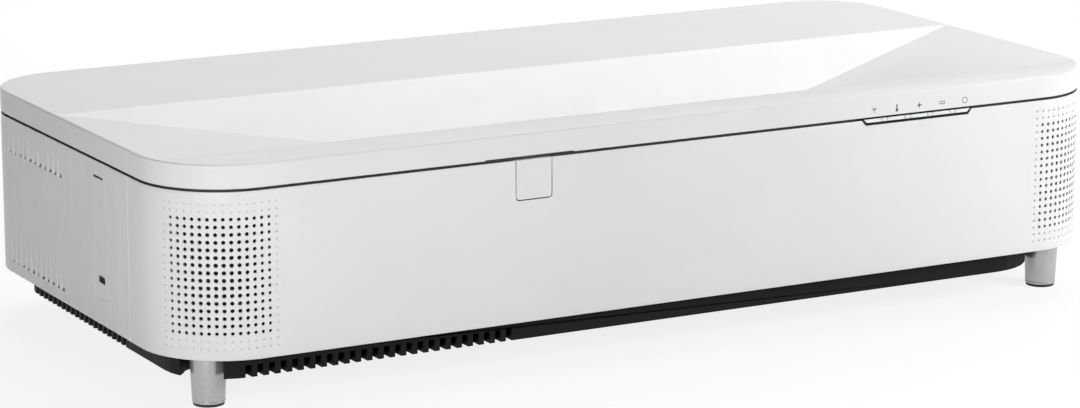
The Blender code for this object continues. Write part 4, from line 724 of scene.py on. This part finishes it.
def left_path():
    x, y, r = -HALF_WIDTH, HALF_DEPTH, REAR_RADIUS
    return follow(straight((-REAR_REACH, y), (x + r, y)), bend((x + r, y - r), r, 90),
                  straight((x, y - r), (x, SIDE_START)))


def right_path():
    x, y, r = HALF_WIDTH, HALF_DEPTH, REAR_RADIUS
    return follow(straight((x, SIDE_START), (x, y - r)), bend((x - r, y - r), r, 0),
                  straight((x - r, y), (REAR_REACH, y)))


def louvre_depth(y, z):
    """Depth of the scoops, each of which deepens downwards to its opening."""
    for bottom, top in (UPPER_LOUVRES, LOWER_LOUVRES):
        if not bottom - 0.01 * MM <= z <= top + 0.01 * MM:
            continue
        depth = LOUVRE_DEPTH * min(1.0, (top - z) / (top - bottom - LOUVRE_GAP))
        for middle in LOUVRE_MIDDLES:
            if abs(y - middle) <= LOUVRE_WIDTH / 2 - LOUVRE_SIDE + 0.01 * MM:
                return 0.0 if z <= bottom + 0.01 * MM else depth
    return 0.0


def flute_depth(y):
    """Shallow facets that run up the side, alternately facing a little forwards and backwards."""
    share = (y - SIDE_START) / FLUTE_PITCH
    return FLUTE_DEPTH * 2 * abs(share - round(share))


def spread_outline(outline):
    """The outline with points added along its long straight runs."""
    points = []
    for (u, v), (after_u, after_v) in pairs(outline):
        length = math.hypot(after_u - u, after_v - v)
        count = max(1, round(length / BEND_STEP))
        points += [(u + (after_u - u) * part / count, v + (after_v - v) * part / count)
                   for part in range(count)]
    return points


def make_side_cover(side):
    """Fluted cover with two rows of scooped louvres; side is -1 on the left and 1 on the right."""
    left = side < 0
    path = left_path() if left else right_path()
    far = BACK_RUN + REAR_BEND + HALF_DEPTH - REAR_RADIUS

    def s_of(y):
        return far - y if left else y - SIDE_START

    def y_of(s):
        return far - s if left else s + SIDE_START

    flutes = int(SIDE_RUN / FLUTE_PITCH * 2) + 1
    y_lines = [SIDE_START + FLUTE_PITCH / 2 * index for index in range(flutes)]
    gaps = []
    half = LOUVRE_WIDTH / 2
    for middle in LOUVRE_MIDDLES:
        y_lines += [middle - half, middle - half + LOUVRE_SIDE, middle, middle + half - LOUVRE_SIDE,
                    middle + half]
        for bottom, _ in (UPPER_LOUVRES, LOWER_LOUVRES):
            for near in (-1, 1):
                ends = sorted((s_of(middle), s_of(middle + near * (half - LOUVRE_SIDE))))
                gaps.append((*ends, bottom + LIP, bottom + LOUVRE_GAP, near if left else -near))
    s_lines = [s_of(y) for y in y_lines]
    bend_start = BACK_RUN if left else SIDE_RUN
    s_lines += spaced(bend_start, bend_start + REAR_BEND, BEND_STEP)
    s_lines += fillet_lines(0, 1, PARTING) + fillet_lines(SIDE_LENGTH, -1, PARTING)
    z_lines = fillet_lines(SHELL_BOTTOM, 1) + fillet_lines(SHELL_TOP, -1)
    for bottom, top in (UPPER_LOUVRES, LOWER_LOUVRES):
        z_lines += [bottom, bottom + LIP, bottom + LOUVRE_GAP, top]

    if left:
        holes = []
        for y0, y1, z0, z1, radius, gap, depth in SIDE_CUTS:
            s0, s1 = sorted((s_of(y0), s_of(y1)))
            outline = spread_outline(rounded_box(s0, s1, z0, z1, radius))
            holes.append((s0, s1, z0, z1, gap, outline, depth))
    else:
        low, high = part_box("power_key")
        s, z = s_of((low.y + high.y) / 2), (low.z + high.z) / 2
        radius = KEY_RADIUS + FIT
        holes = [(s - radius, s + radius, z - radius, z + radius, KEY_MARGIN,
                  ring_points((s, z), radius, KEY_HOLE_SIDES), None)]
    cuts = []
    for s0, s1, z0, z1, gap, outline, depth in holes:
        s_lines += [s0 - gap, s1 + gap]
        z_lines += [z0 - gap, z1 + gap]
        cuts.append((s0 - gap, s1 + gap, z0 - gap, z1 + gap, outline, depth))

    def relief(s, z):
        y = y_of(s)
        depth = max(rim_depth(z), fillet_depth(s, PARTING), fillet_depth(SIDE_LENGTH - s, PARTING))
        if SIDE_START <= y <= HALF_DEPTH - REAR_RADIUS:
            depth = max(depth, flute_depth(y)) + louvre_depth(y, z)
        return depth

    bm = wall_sheet(path, s_lines, z_lines, relief, cuts, gaps)
    if left:
        cover = make_piece("left_cover_skin", bm, "left_cover", "white_plastic", ["left_side_cover"])
    else:
        cover = make_piece("right_cover_skin", bm, "root", "white_plastic", ["right_side_cover"])
    thicken(cover, SIDE_SKIN, FLUTE_ANGLE)


# -------- lid
LID_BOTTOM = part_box("indicator_bezel")[1].z + FIT
LID_STEPS = 20  # per corner
LID_FILLET = (0.6 * MM, 0.3 * MM, 0.09 * MM, 0.0)  # heights of the rings round its lower edge
WINDOW_CORNER = 0.8 * MM
WINDOW_CUT = 12 * MM  # each way from the middle of the bezel
NOTCH = (-138 * MM, -74 * MM, 0.8 * MM)  # left, right and height, over the receiver
NOTCH_CUT = 4 * MM
NOTCH_DROP = 10 * MM  # the cut goes on this far below the lid
NOTCH_CORNER = 0.4 * MM


def cabinet_outline(inset):
    """The cabinet seen from above, moved inwards, with points where the recess's edges cross it."""
    points = []
    x, y = HALF_WIDTH - inset, HALF_DEPTH - inset
    for side_x, side_y, radius, start in ((1, 1, REAR_RADIUS, 0), (-1, 1, REAR_RADIUS, 90),
                                          (-1, -1, FRONT_RADIUS, 180), (1, -1, FRONT_RADIUS, 270)):
        radius -= inset
        points += arc_points((side_x * (x - radius), side_y * (y - radius)), radius, start, start + 90,
                             LID_STEPS)
    for level in (RECESS_FRONT, RECESS_REAR):
        crossed = []
        for (px, py), (next_x, next_y) in pairs(points):
            crossed.append((px, py))
            if (py - level) * (next_y - level) < 0:
                share = (level - py) / (next_y - py)
                crossed.append((px + share * (next_x - px), level))
        points = crossed
    start = next(index for index, (px, py) in enumerate(points) if px > 0 and py == RECESS_REAR)
    return points[start:] + points[:start]


def add_lid_skin(bm, rim, height):
    """Strips, slopes and side facets between the rim and the valley."""
    ends = [bm.verts.new((side * VALLEY_HALF, VALLEY_Y, height - VALLEY_DEPTH)) for side in (-1, 1)]
    rear = [vert for vert in rim if vert.co.y >= RECESS_REAR - 0.01 * MM]
    front = [vert for vert in rim if vert.co.y <= RECESS_FRONT + 0.01 * MM]
    bm.faces.new(rear)
    bm.faces.new(front)
    bm.faces.new((rear[-1], rear[0], ends[1], ends[0]))
    bm.faces.new((front[-1], front[0], ends[0], ends[1]))
    for vert, following in pairs(rim):
        if (vert in rear and following in rear) or (vert in front and following in front):
            continue
        bm.faces.new((vert, following, ends[0] if vert.co.x < 0 else ends[1]))


def make_lid():
    """Lid with its wedge-shaped recess, open under the window, with the symbols engraved in its rim."""
    rings = [(LID_EDGE * (1 - math.sin(angle)), HEIGHT - LID_EDGE * (1 - math.cos(angle)))
             for angle in QUARTER]
    rings += [(fillet_depth(gap), LID_BOTTOM + gap) for gap in LID_FILLET]
    inner_top = HEIGHT - LID_SKIN - LID_EDGE
    rings += [(WALL, LID_BOTTOM), (WALL, inner_top)]
    bm = bmesh.new()
    loops = [[bm.verts.new((x, y, z)) for x, y in cabinet_outline(inset)] for inset, z in rings]
    for upper, lower in zip(loops, loops[1:]):
        bridge(bm, lower, upper)
    add_lid_skin(bm, loops[0], HEIGHT)
    add_lid_skin(bm, loops[-1], inner_top)
    bmesh.ops.recalc_face_normals(bm, faces=bm.faces)
    lid = make_piece("lid_skin", bm, "root", "white_plastic", ["top_lid"])

    bezel_low, bezel_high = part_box("window_bezel")
    middle = (bezel_low + bezel_high) / 2
    tilt = math.atan2(VALLEY_DEPTH, VALLEY_Y - RECESS_FRONT)
    half_width = (bezel_high.x - bezel_low.x) / 2 + FIT
    half_height = WINDOW_HEIGHT / 2
    turn = Matrix.Translation(middle) @ Euler((-tilt, 0, 0)).to_matrix().to_4x4()
    cut_prism(lid, rounded_box(-half_width, half_width, -half_height, half_height, WINDOW_CORNER),
              -WINDOW_CUT, WINDOW_CUT, lambda u, v, w: turn @ Vector((u, v, w)))
    left, right, height = NOTCH
    cut_prism(lid, rounded_box(left, right, LID_BOTTOM - NOTCH_DROP, LID_BOTTOM + height, NOTCH_CORNER),
              HALF_DEPTH - NOTCH_CUT, HALF_DEPTH + NOTCH_CUT, facing_front)
    cut_away(lid, icon_solids(HALF_DEPTH - ICON_DEPTH, HALF_DEPTH + ICON_CUT))
    crease_edges(lid.data)
    weighted = lid.modifiers.new("flat_faces", "WEIGHTED_NORMAL")
    weighted.weight = 80
    weighted.keep_sharp = True


def crease_edges(mesh):
    """Sharp where two broad faces meet at an angle, smooth across the narrow faces of the fillets."""
    bm = bmesh.new()
    bm.from_mesh(mesh)
    for edge in bm.edges:
        if len(edge.link_faces) != 2:
            continue
        widths = [face.calc_area() / face.calc_perimeter() for face in edge.link_faces]
        limit = CREASE_ANGLE if min(widths) > BROAD else EDGE_ANGLE
        edge.smooth = edge.calc_face_angle() < math.radians(limit)
    bm.to_mesh(mesh)
    bm.free()


# -------- indicators on the lid and its tab
ICON_Z = HEIGHT - 10.6 * MM
ICON_LINE = 0.48 * MM
ICON_DEPTH = 0.25 * MM
ICON_CUT = 2 * MM  # the cut starts this far in front of the lid's face
ICON_SINK = 0.06 * MM  # of the print below the lid's face
ICON_PLACES = {"waves": 152.5 * MM, "heat": 170.5 * MM, "spark": 188.5 * MM, "card": 206.8 * MM,
               "ring": 225.3 * MM}
WAVE_FOOT = 1.5 * MM  # below the symbol's middle, like BULB_DROP
WAVE_DOT = 0.35 * MM
WAVE_RADII = (1.1 * MM, 1.9 * MM, 2.7 * MM)
WAVE_ARC = (48, 132)  # degrees
BULB_DROP = 1.6 * MM
BULB_RADIUS = 1.1 * MM
BULB_ARC = (117, 423)  # degrees
STEM_HALF = 0.5 * MM
STEM_TOP = 2.5 * MM
SPARK_RAYS = (2.4 * MM, 0.75 * MM)  # radius at the tips and between them
CARD_HALF = (2.2 * MM, 1.1 * MM)
CARD_CORNER = 0.7 * MM
CARD_MARK = 0.45 * MM
RING_RADIUS = 2.2 * MM
LENS_MARKS = ((159.3, 163.0), (177.7, 181.5), (196.0, 199.3), (214.0, 217.5))  # millimetres
LENS_LEAN = 0.7 * MM  # how far a mark's upper end leans out
LENS_BREAK = 0.26 * MM
LENS_SIDE_SLANT = 2.2 * MM
LENS_DEPTH = 0.5 * MM
LENS_SINK = 0.05 * MM
LENS_EDGE = 0.12 * MM
BACKING_SINK = 0.52 * MM


def icon_outlines():
    """Generic symbols as outlines; a pair of outlines is a frame between them."""
    outlines = []
    foot = (ICON_PLACES["waves"], ICON_Z - WAVE_FOOT)
    outlines.append(ring_points(foot, WAVE_DOT, 10))
    for radius in WAVE_RADII:
        outer = arc_points(foot, radius + ICON_LINE / 2, *WAVE_ARC)
        inner = arc_points(foot, radius - ICON_LINE / 2, *WAVE_ARC)
        outlines.append(outer + list(reversed(inner)))
    x = ICON_PLACES["heat"]
    outlines.append([(x + STEM_HALF, ICON_Z + STEM_TOP), (x - STEM_HALF, ICON_Z + STEM_TOP)]
                    + arc_points((x, ICON_Z - BULB_DROP), BULB_RADIUS, *BULB_ARC))
    x = ICON_PLACES["spark"]
    outlines.append([(x + SPARK_RAYS[index % 2] * math.cos(math.pi / 4 * index),
                      ICON_Z + SPARK_RAYS[index % 2] * math.sin(math.pi / 4 * index))
                     for index in range(8)])
    x = ICON_PLACES["card"]
    wide, tall = CARD_HALF
    outlines.append(tuple(rounded_box(x - wide + cut, x + wide - cut, ICON_Z - tall + cut,
                                      ICON_Z + tall - cut, CARD_CORNER - cut)
                          for cut in (0, ICON_LINE)))
    half = ICON_LINE / 2
    outlines.append([(x - half, ICON_Z - CARD_MARK), (x + half, ICON_Z - CARD_MARK),
                     (x + half, ICON_Z + CARD_MARK), (x - half, ICON_Z + CARD_MARK)])
    x = ICON_PLACES["ring"]
    outlines.append(tuple(ring_points((x, ICON_Z), RING_RADIUS - cut, 28) for cut in (0, ICON_LINE)))
    return outlines


def icon_solids(low, high):
    """The symbols as closed bodies, from low to high in front of the cabinet's middle."""
    bm = bmesh.new()
    for outline in icon_outlines():
        if isinstance(outline, tuple):
            add_band(bm, *outline, low, high, facing_front)
        else:
            add_prism(bm, outline, low, high, facing_front)
    bmesh.ops.recalc_face_normals(bm, faces=bm.faces)
    return bm


def make_icons():
    """Grey print that fills the engraved symbols."""
    bm = icon_solids(HALF_DEPTH - ICON_DEPTH, HALF_DEPTH - ICON_SINK)
    make_piece("indicator_symbols", bm, "root", "grey_plastic")


def make_lenses():
    """The light guide's front, broken by slanted hairlines into five lenses and four spacers."""
    low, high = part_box("indicator_light_guide")
    breaks = [(low.x + LENS_SIDE_SLANT, low.x)]
    for first, second in LENS_MARKS:
        breaks.append((first * MM, first * MM - LENS_LEAN))
        breaks.append((second * MM, second * MM + LENS_LEAN))
    breaks.append((high.x - LENS_SIDE_SLANT, high.x))
    bm = bmesh.new()
    front = -low.y
    for index, (start, end) in enumerate(zip(breaks, breaks[1:])):
        left = LENS_BREAK if index else 0
        right = LENS_BREAK if index < len(breaks) - 2 else 0
        outline = [(start[0] + left, low.z), (end[0] - right, low.z),
                   (end[1] - right, high.z), (start[1] + left, high.z)]
        add_prism(bm, outline, front - LENS_DEPTH, front - LENS_SINK, facing_front)
    round_front(bm, low.y, LENS_EDGE, 2)
    make_piece("indicator_lenses", bm, "root", "clear_plastic", ["indicator_light_guide"])
    backing = [(breaks[0][0], low.z), (breaks[-1][0], low.z), (high.x, high.z), (low.x, high.z)]
    bm = bmesh.new()
    add_prism(bm, backing, -high.y, front - BACKING_SINK, facing_front)
    make_piece("indicator_backing", bm, "root", "grey_plastic")


# -------- feet, key and other turned pieces
STUD_RADIUS = 4 * MM
STUD_PLAIN = 3 * MM  # without grooves at each end
GROOVE_PITCH = 0.8 * MM
GROOVE_DEPTH = 0.45 * MM
BARREL_TOP = 11.6 * MM  # radii of the tapered barrel
BARREL_FOOT = 10.3 * MM
BARREL_RING = 1.6 * MM  # height of the ring groove above the barrel's lower end
RING_DEPTH = 0.25 * MM
PAD_HOLLOW = 0.3 * MM  # under the pads, inside their contact ring
REAR_FOOT_RINGS = (12 * MM, 9 * MM, 6 * MM)
REAR_RING_DEPTH = 0.5 * MM
REAR_HOLLOW = 1.0 * MM
KEY_DISH = 0.5 * MM
KEY_DISH_RADIUS = 5 * MM
KEY_FLANGE = 1.5 * MM


def upright(centre):
    return lambda x, y, z: (centre.x + x, centre.y + y, z)


def along_x(centre):
    return lambda x, y, z: (centre.x + z, centre.y + x, centre.z + y)


def rounded_rim(radius, height, edge, upper):
    """Profile points outwards over a disc's upper edge, or inwards under its lower one."""
    side = -1 if upper else 1
    points = [(radius - edge + edge * math.sin(angle), height + side * edge * (1 - math.cos(angle)))
              for angle in QUARTER]
    return points if upper else points[::-1]


def make_turned(name, profile, steps, place, *piece):
    """A turned piece; what comes after place goes on to make_piece."""
    bm = bmesh.new()
    add_turned(bm, profile, steps, place)
    make_piece(name, bm, *piece)


def make_front_foot(name):
    """Tapered turned barrel on a grooved stud, and the rubber pad under it."""
    low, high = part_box(f"front_foot_{name}")
    centre = (low + high) / 2
    grooves = []
    level = SHELL_BOTTOM + STUD_PLAIN
    while level < high.z - STUD_PLAIN:
        grooves.append(level)
        level += GROOVE_PITCH
    profile = [(0, high.z)] + rounded_rim(STUD_RADIUS, high.z, 0.6 * MM, True)
    for level in reversed(grooves):
        profile += [(STUD_RADIUS - GROOVE_DEPTH, level + GROOVE_PITCH / 2), (STUD_RADIUS, level)]
    profile += [(STUD_RADIUS, SHELL_BOTTOM + 1 * MM), (STUD_RADIUS, SHELL_BOTTOM)]
    profile += rounded_rim(BARREL_TOP, SHELL_BOTTOM, 0.4 * MM, True)
    ring = low.z + BARREL_RING
    profile += [(BARREL_FOOT + 0.05 * MM, ring + RING_DEPTH), (BARREL_FOOT - RING_DEPTH, ring),
                (BARREL_FOOT, ring - RING_DEPTH)]
    profile += rounded_rim(BARREL_FOOT, low.z, 0.5 * MM, False) + [(0, low.z)]
    make_turned(f"foot_barrel_{name}", profile, 72, upright(centre), f"{name}_foot_barrel",
                "satin_metal", [f"front_foot_{name}"])

    low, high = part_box(f"front_foot_pad_{name}")
    radius = (high.x - low.x) / 2
    profile = [(0, high.z)] + rounded_rim(radius, high.z, 0.2 * MM, True)
    profile += rounded_rim(radius, low.z, 0.5 * MM, False)
    profile += [(radius - 2 * MM, 0), (radius - 2.4 * MM, PAD_HOLLOW), (0, PAD_HOLLOW)]
    make_turned(f"foot_pad_{name}", profile, 60, upright(centre), f"{name}_foot_lift",
                "rubber", [f"front_foot_pad_{name}"])


def make_rear_foot(name):
    """Rubber foot with three ring grooves, hollow underneath."""
    low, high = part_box(f"rear_foot_{name}")
    radius = (high.x - low.x) / 2
    profile = [(0, high.z)] + rounded_rim(radius, high.z, 0.5 * MM, True)
    for z in REAR_FOOT_RINGS:
        profile += [(radius, z + REAR_RING_DEPTH), (radius - REAR_RING_DEPTH, z),
                    (radius, z - REAR_RING_DEPTH)]
    profile += rounded_rim(radius - 0.4 * MM, 0, 1.2 * MM, False)
    profile += [(radius - 4 * MM, 0), (radius - 5 * MM, REAR_HOLLOW), (0, REAR_HOLLOW)]
    make_turned(f"rear_foot_skin_{name}", profile, 60, upright((low + high) / 2), "root",
                "rubber", [f"rear_foot_{name}"])


def make_power_key():
    """Round grey key with a dished face."""
    low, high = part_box("power_key")
    centre = (low + high) / 2
    face = high.x - centre.x
    back = low.x - centre.x
    profile = [(0, face - KEY_DISH)]
    profile += [(share * KEY_DISH_RADIUS, face - KEY_DISH * (1 - share ** 2))
                for share in (0.25, 0.5, 0.75, 1)]
    profile += rounded_rim(KEY_RADIUS, face, 0.4 * MM, True)
    flange = (high.z - low.z) / 2
    profile += [(KEY_RADIUS, back + KEY_FLANGE), (flange, back + KEY_FLANGE), (flange, back), (0, back)]
    make_turned("power_key_skin", profile, 64, along_x(centre), "power_key", "grey_plastic",
                ["power_key"])


# -------- cloth behind the perforated corners
CLOTH_THICKNESS = 0.5 * MM
CLOTH_STEPS = 24


def make_cloth(name, side):
    """A quarter-round band of woven cloth, stretched on the inside of the corner."""
    low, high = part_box(f"grille_cloth_{name}")
    centre = (side * (HALF_WIDTH - FRONT_RADIUS), -HALF_DEPTH + FRONT_RADIUS)
    outer = max(-low.x, high.x) - abs(centre[0])
    start = 180 if side < 0 else 270
    outline = arc_points(centre, outer, start, start + 90, CLOTH_STEPS)
    outline += reversed(arc_points(centre, outer - CLOTH_THICKNESS, start, start + 90, CLOTH_STEPS))
    bm = bmesh.new()
    add_prism(bm, outline, low.z, high.z, facing_up)
    cloth = make_piece(f"grille_weave_{name}", bm, "root", "cloth", [f"grille_cloth_{name}"])


# -------- CAD pieces that only need soft edges
SOFT_EDGES = (  # width in millimetres, pieces
    (0.15, ("indicator_bezel",)),
    (0.2, ("projection_window", "lid_screw_1", "lid_screw_2", "lid_screw_3", "lid_screw_4",
           "heat_sink", "main_board")),
    (0.25, ("video_socket_1", "video_socket_2", "data_socket")),
    (0.3, ("cover_latch", "lens_barrel")),
    (0.35, ("window_bezel", "audio_socket")),
    (0.4, ("power_supply", "focus_motor", "speaker_left", "speaker_right")),
    (0.5, ("rear_panel", "power_inlet", "wheel_motor")),
    (0.6, ("base_tray", "filter_frame", "rear_exhaust_fan_frame", "front_exhaust_fan_frame",
           "intake_fan_frame", "mirror_holder")),
    (0.8, ("laser_module",)),
    (1.2, ("optical_engine",)),
)


def soften(name, width):
    """Joins the triangles of flat faces and rounds the edges, as modifiers on the CAD piece."""
    node = frame["nodes"][name]
    shade(node.data, CAD_SMOOTH_ANGLE)
    flat = node.modifiers.new("flat_faces", "DECIMATE")
    flat.decimate_type = "DISSOLVE"
    flat.angle_limit = math.radians(CAD_FLAT_ANGLE)
    edges = node.modifiers.new("soft_edges", "BEVEL")
    edges.width = width * MM
    edges.segments = 2
    edges.limit_method = "ANGLE"
    edges.angle_limit = math.radians(CAD_SOFT_ANGLE)
    edges.use_clamp_overlap = True


# -------- stage, light and camera
CAMERA_PLACE = Vector((-1.1809, -2.1259, 0.6219))
CAMERA_TARGET = Vector((-0.0126, 0.0, 0.0592))
CAMERA_ROLL = 0.078  # degrees
CAMERA_SENSOR = 36  # millimetres, like the focal length
CAMERA_LENS = 121.64
CAMERA_SHIFT = (0.0064, 0.0082)
AMBIENT = 0.02
FLOOR_GLOW = 0.84  # the floor as the camera sees it: near white, with the shadow
FLOOR_SHADE = 0.20
FLOOR_REACH = 6.0


def seen_or_lit(tree, seen, lit):
    """Joins what the camera, gloss and glass see with what lights the object."""
    path = tree.nodes.new("ShaderNodeLightPath")
    either = path.outputs["Is Camera Ray"]
    for ray in ("Is Glossy Ray", "Is Transmission Ray"):
        larger = tree.nodes.new("ShaderNodeMath")
        larger.operation = "MAXIMUM"
        tree.links.new(either, larger.inputs[0])
        tree.links.new(path.outputs[ray], larger.inputs[1])
        either = larger.outputs[0]
    mix = tree.nodes.new("ShaderNodeMixShader")
    tree.links.new(either, mix.inputs["Fac"])
    tree.links.new(lit, mix.inputs[1])
    tree.links.new(seen, mix.inputs[2])
    return mix.outputs["Shader"]


def make_world():
    world = bpy.data.worlds.new("studio")
    bpy.context.scene.world = world
    world.use_nodes = True
    tree = world.node_tree
    ambient = tree.nodes["Background"]
    put(ambient, Color=(1.0, 1.0, 1.0, 1.0), Strength=AMBIENT)
    white = tree.nodes.new("ShaderNodeBackground")
    put(white, Color=(1.0, 1.0, 1.0, 1.0), Strength=1.0)
    surface = seen_or_lit(tree, white.outputs["Background"], ambient.outputs["Background"])
    tree.links.new(surface, tree.nodes["World Output"].inputs["Surface"])


def softbox(name, place, target, size, watts):
    light = bpy.data.lights.new(name, "AREA")
    light.shape = "RECTANGLE"
    light.size, light.size_y = size
    light.energy = watts
    thing = add_object(name, light)
    thing.location = place
    thing.rotation_euler = (Vector(target) - Vector(place)).to_track_quat("-Z", "Y").to_euler()


LAMPS = (  # name, place, target, size, watts
    ("near_right", (0.86, -0.86, 0.5), (0.34, -0.15, 0.08), (0.4, 0.4), 8.2),
    ("near_left", (-0.7, -0.68, 0.22), (-0.33, -0.15, 0.08), (0.2, 0.2), 2.3),
    ("side_left", (-2.2, -0.5, 0.8), (0, 0, 0.08), (1.2, 1.0), 3.5),
    ("front_high", (-0.2, -1.8, 2.0), (0, 0, 0.08), (1.6, 1.0), 3.0),
    ("overhead_rear", (0.9, 1.2, 1.6), (0, 0, 0.12), (2.2, 1.2), 31.5),
    ("high_rear_right", (0.6, 1.0, 1.7), (-0.1, -0.02, 0.12), (1.0, 1.0), 2.6),
)


def make_floor():
    material = new_material("pale_floor", (0.86, 0.86, 0.86), 0.6)
    vary_roughness(material, noise(material, 400 * MM, 2.0), 0.55, 0.65)
    nodes, links, lit = links_of(material)
    glow = nodes.new("ShaderNodeEmission")
    put(glow, Strength=FLOOR_GLOW)
    shaded = nodes.new("ShaderNodeBsdfDiffuse")
    put(shaded, Color=(FLOOR_SHADE, FLOOR_SHADE, FLOOR_SHADE, 1.0))
    seen = nodes.new("ShaderNodeAddShader")
    links.new(glow.outputs["Emission"], seen.inputs[0])
    links.new(shaded.outputs["BSDF"], seen.inputs[1])
    surface = seen_or_lit(material.node_tree, seen.outputs["Shader"], lit.outputs["BSDF"])
    links.new(surface, nodes["Material Output"].inputs["Surface"])
    mesh = bpy.data.meshes.new("floor")
    corners = [(x * FLOOR_REACH, y * FLOOR_REACH, 0) for x, y in ((-1, -1), (1, -1), (1, 1), (-1, 1))]
    mesh.from_pydata(corners, [], [(0, 1, 2, 3)])
    mesh.materials.append(material)
    floor = add_object("floor", mesh)


def make_camera():
    data = bpy.data.cameras.new("camera")
    data.sensor_width = CAMERA_SENSOR
    data.lens = CAMERA_LENS
    data.shift_x, data.shift_y = CAMERA_SHIFT
    camera = add_object("camera", data)
    camera.location = CAMERA_PLACE
    look = (CAMERA_TARGET - CAMERA_PLACE).to_track_quat("-Z", "Y").to_matrix()
    roll = Matrix.Rotation(math.radians(CAMERA_ROLL), 3, "Z")
    camera.rotation_euler = (look @ roll).to_euler()
    bpy.context.scene.camera = camera
    bpy.context.scene.view_settings.view_transform = "Standard"


make_camera()
make_world()
for lamp in LAMPS:
    softbox(*lamp)
make_floor()
dress_frame()
for soft_width, soft_names in SOFT_EDGES:
    for soft_name in soft_names:
        soften(soft_name, soft_width)
make_front_shell()
make_receiver()
make_side_cover(-1)
make_side_cover(1)
make_lid()
make_icons()
make_lenses()
for foot_name in ("left", "right"):
    make_front_foot(foot_name)
    make_rear_foot(foot_name)
    make_cloth(foot_name, -1 if foot_name == "left" else 1)
make_power_key()
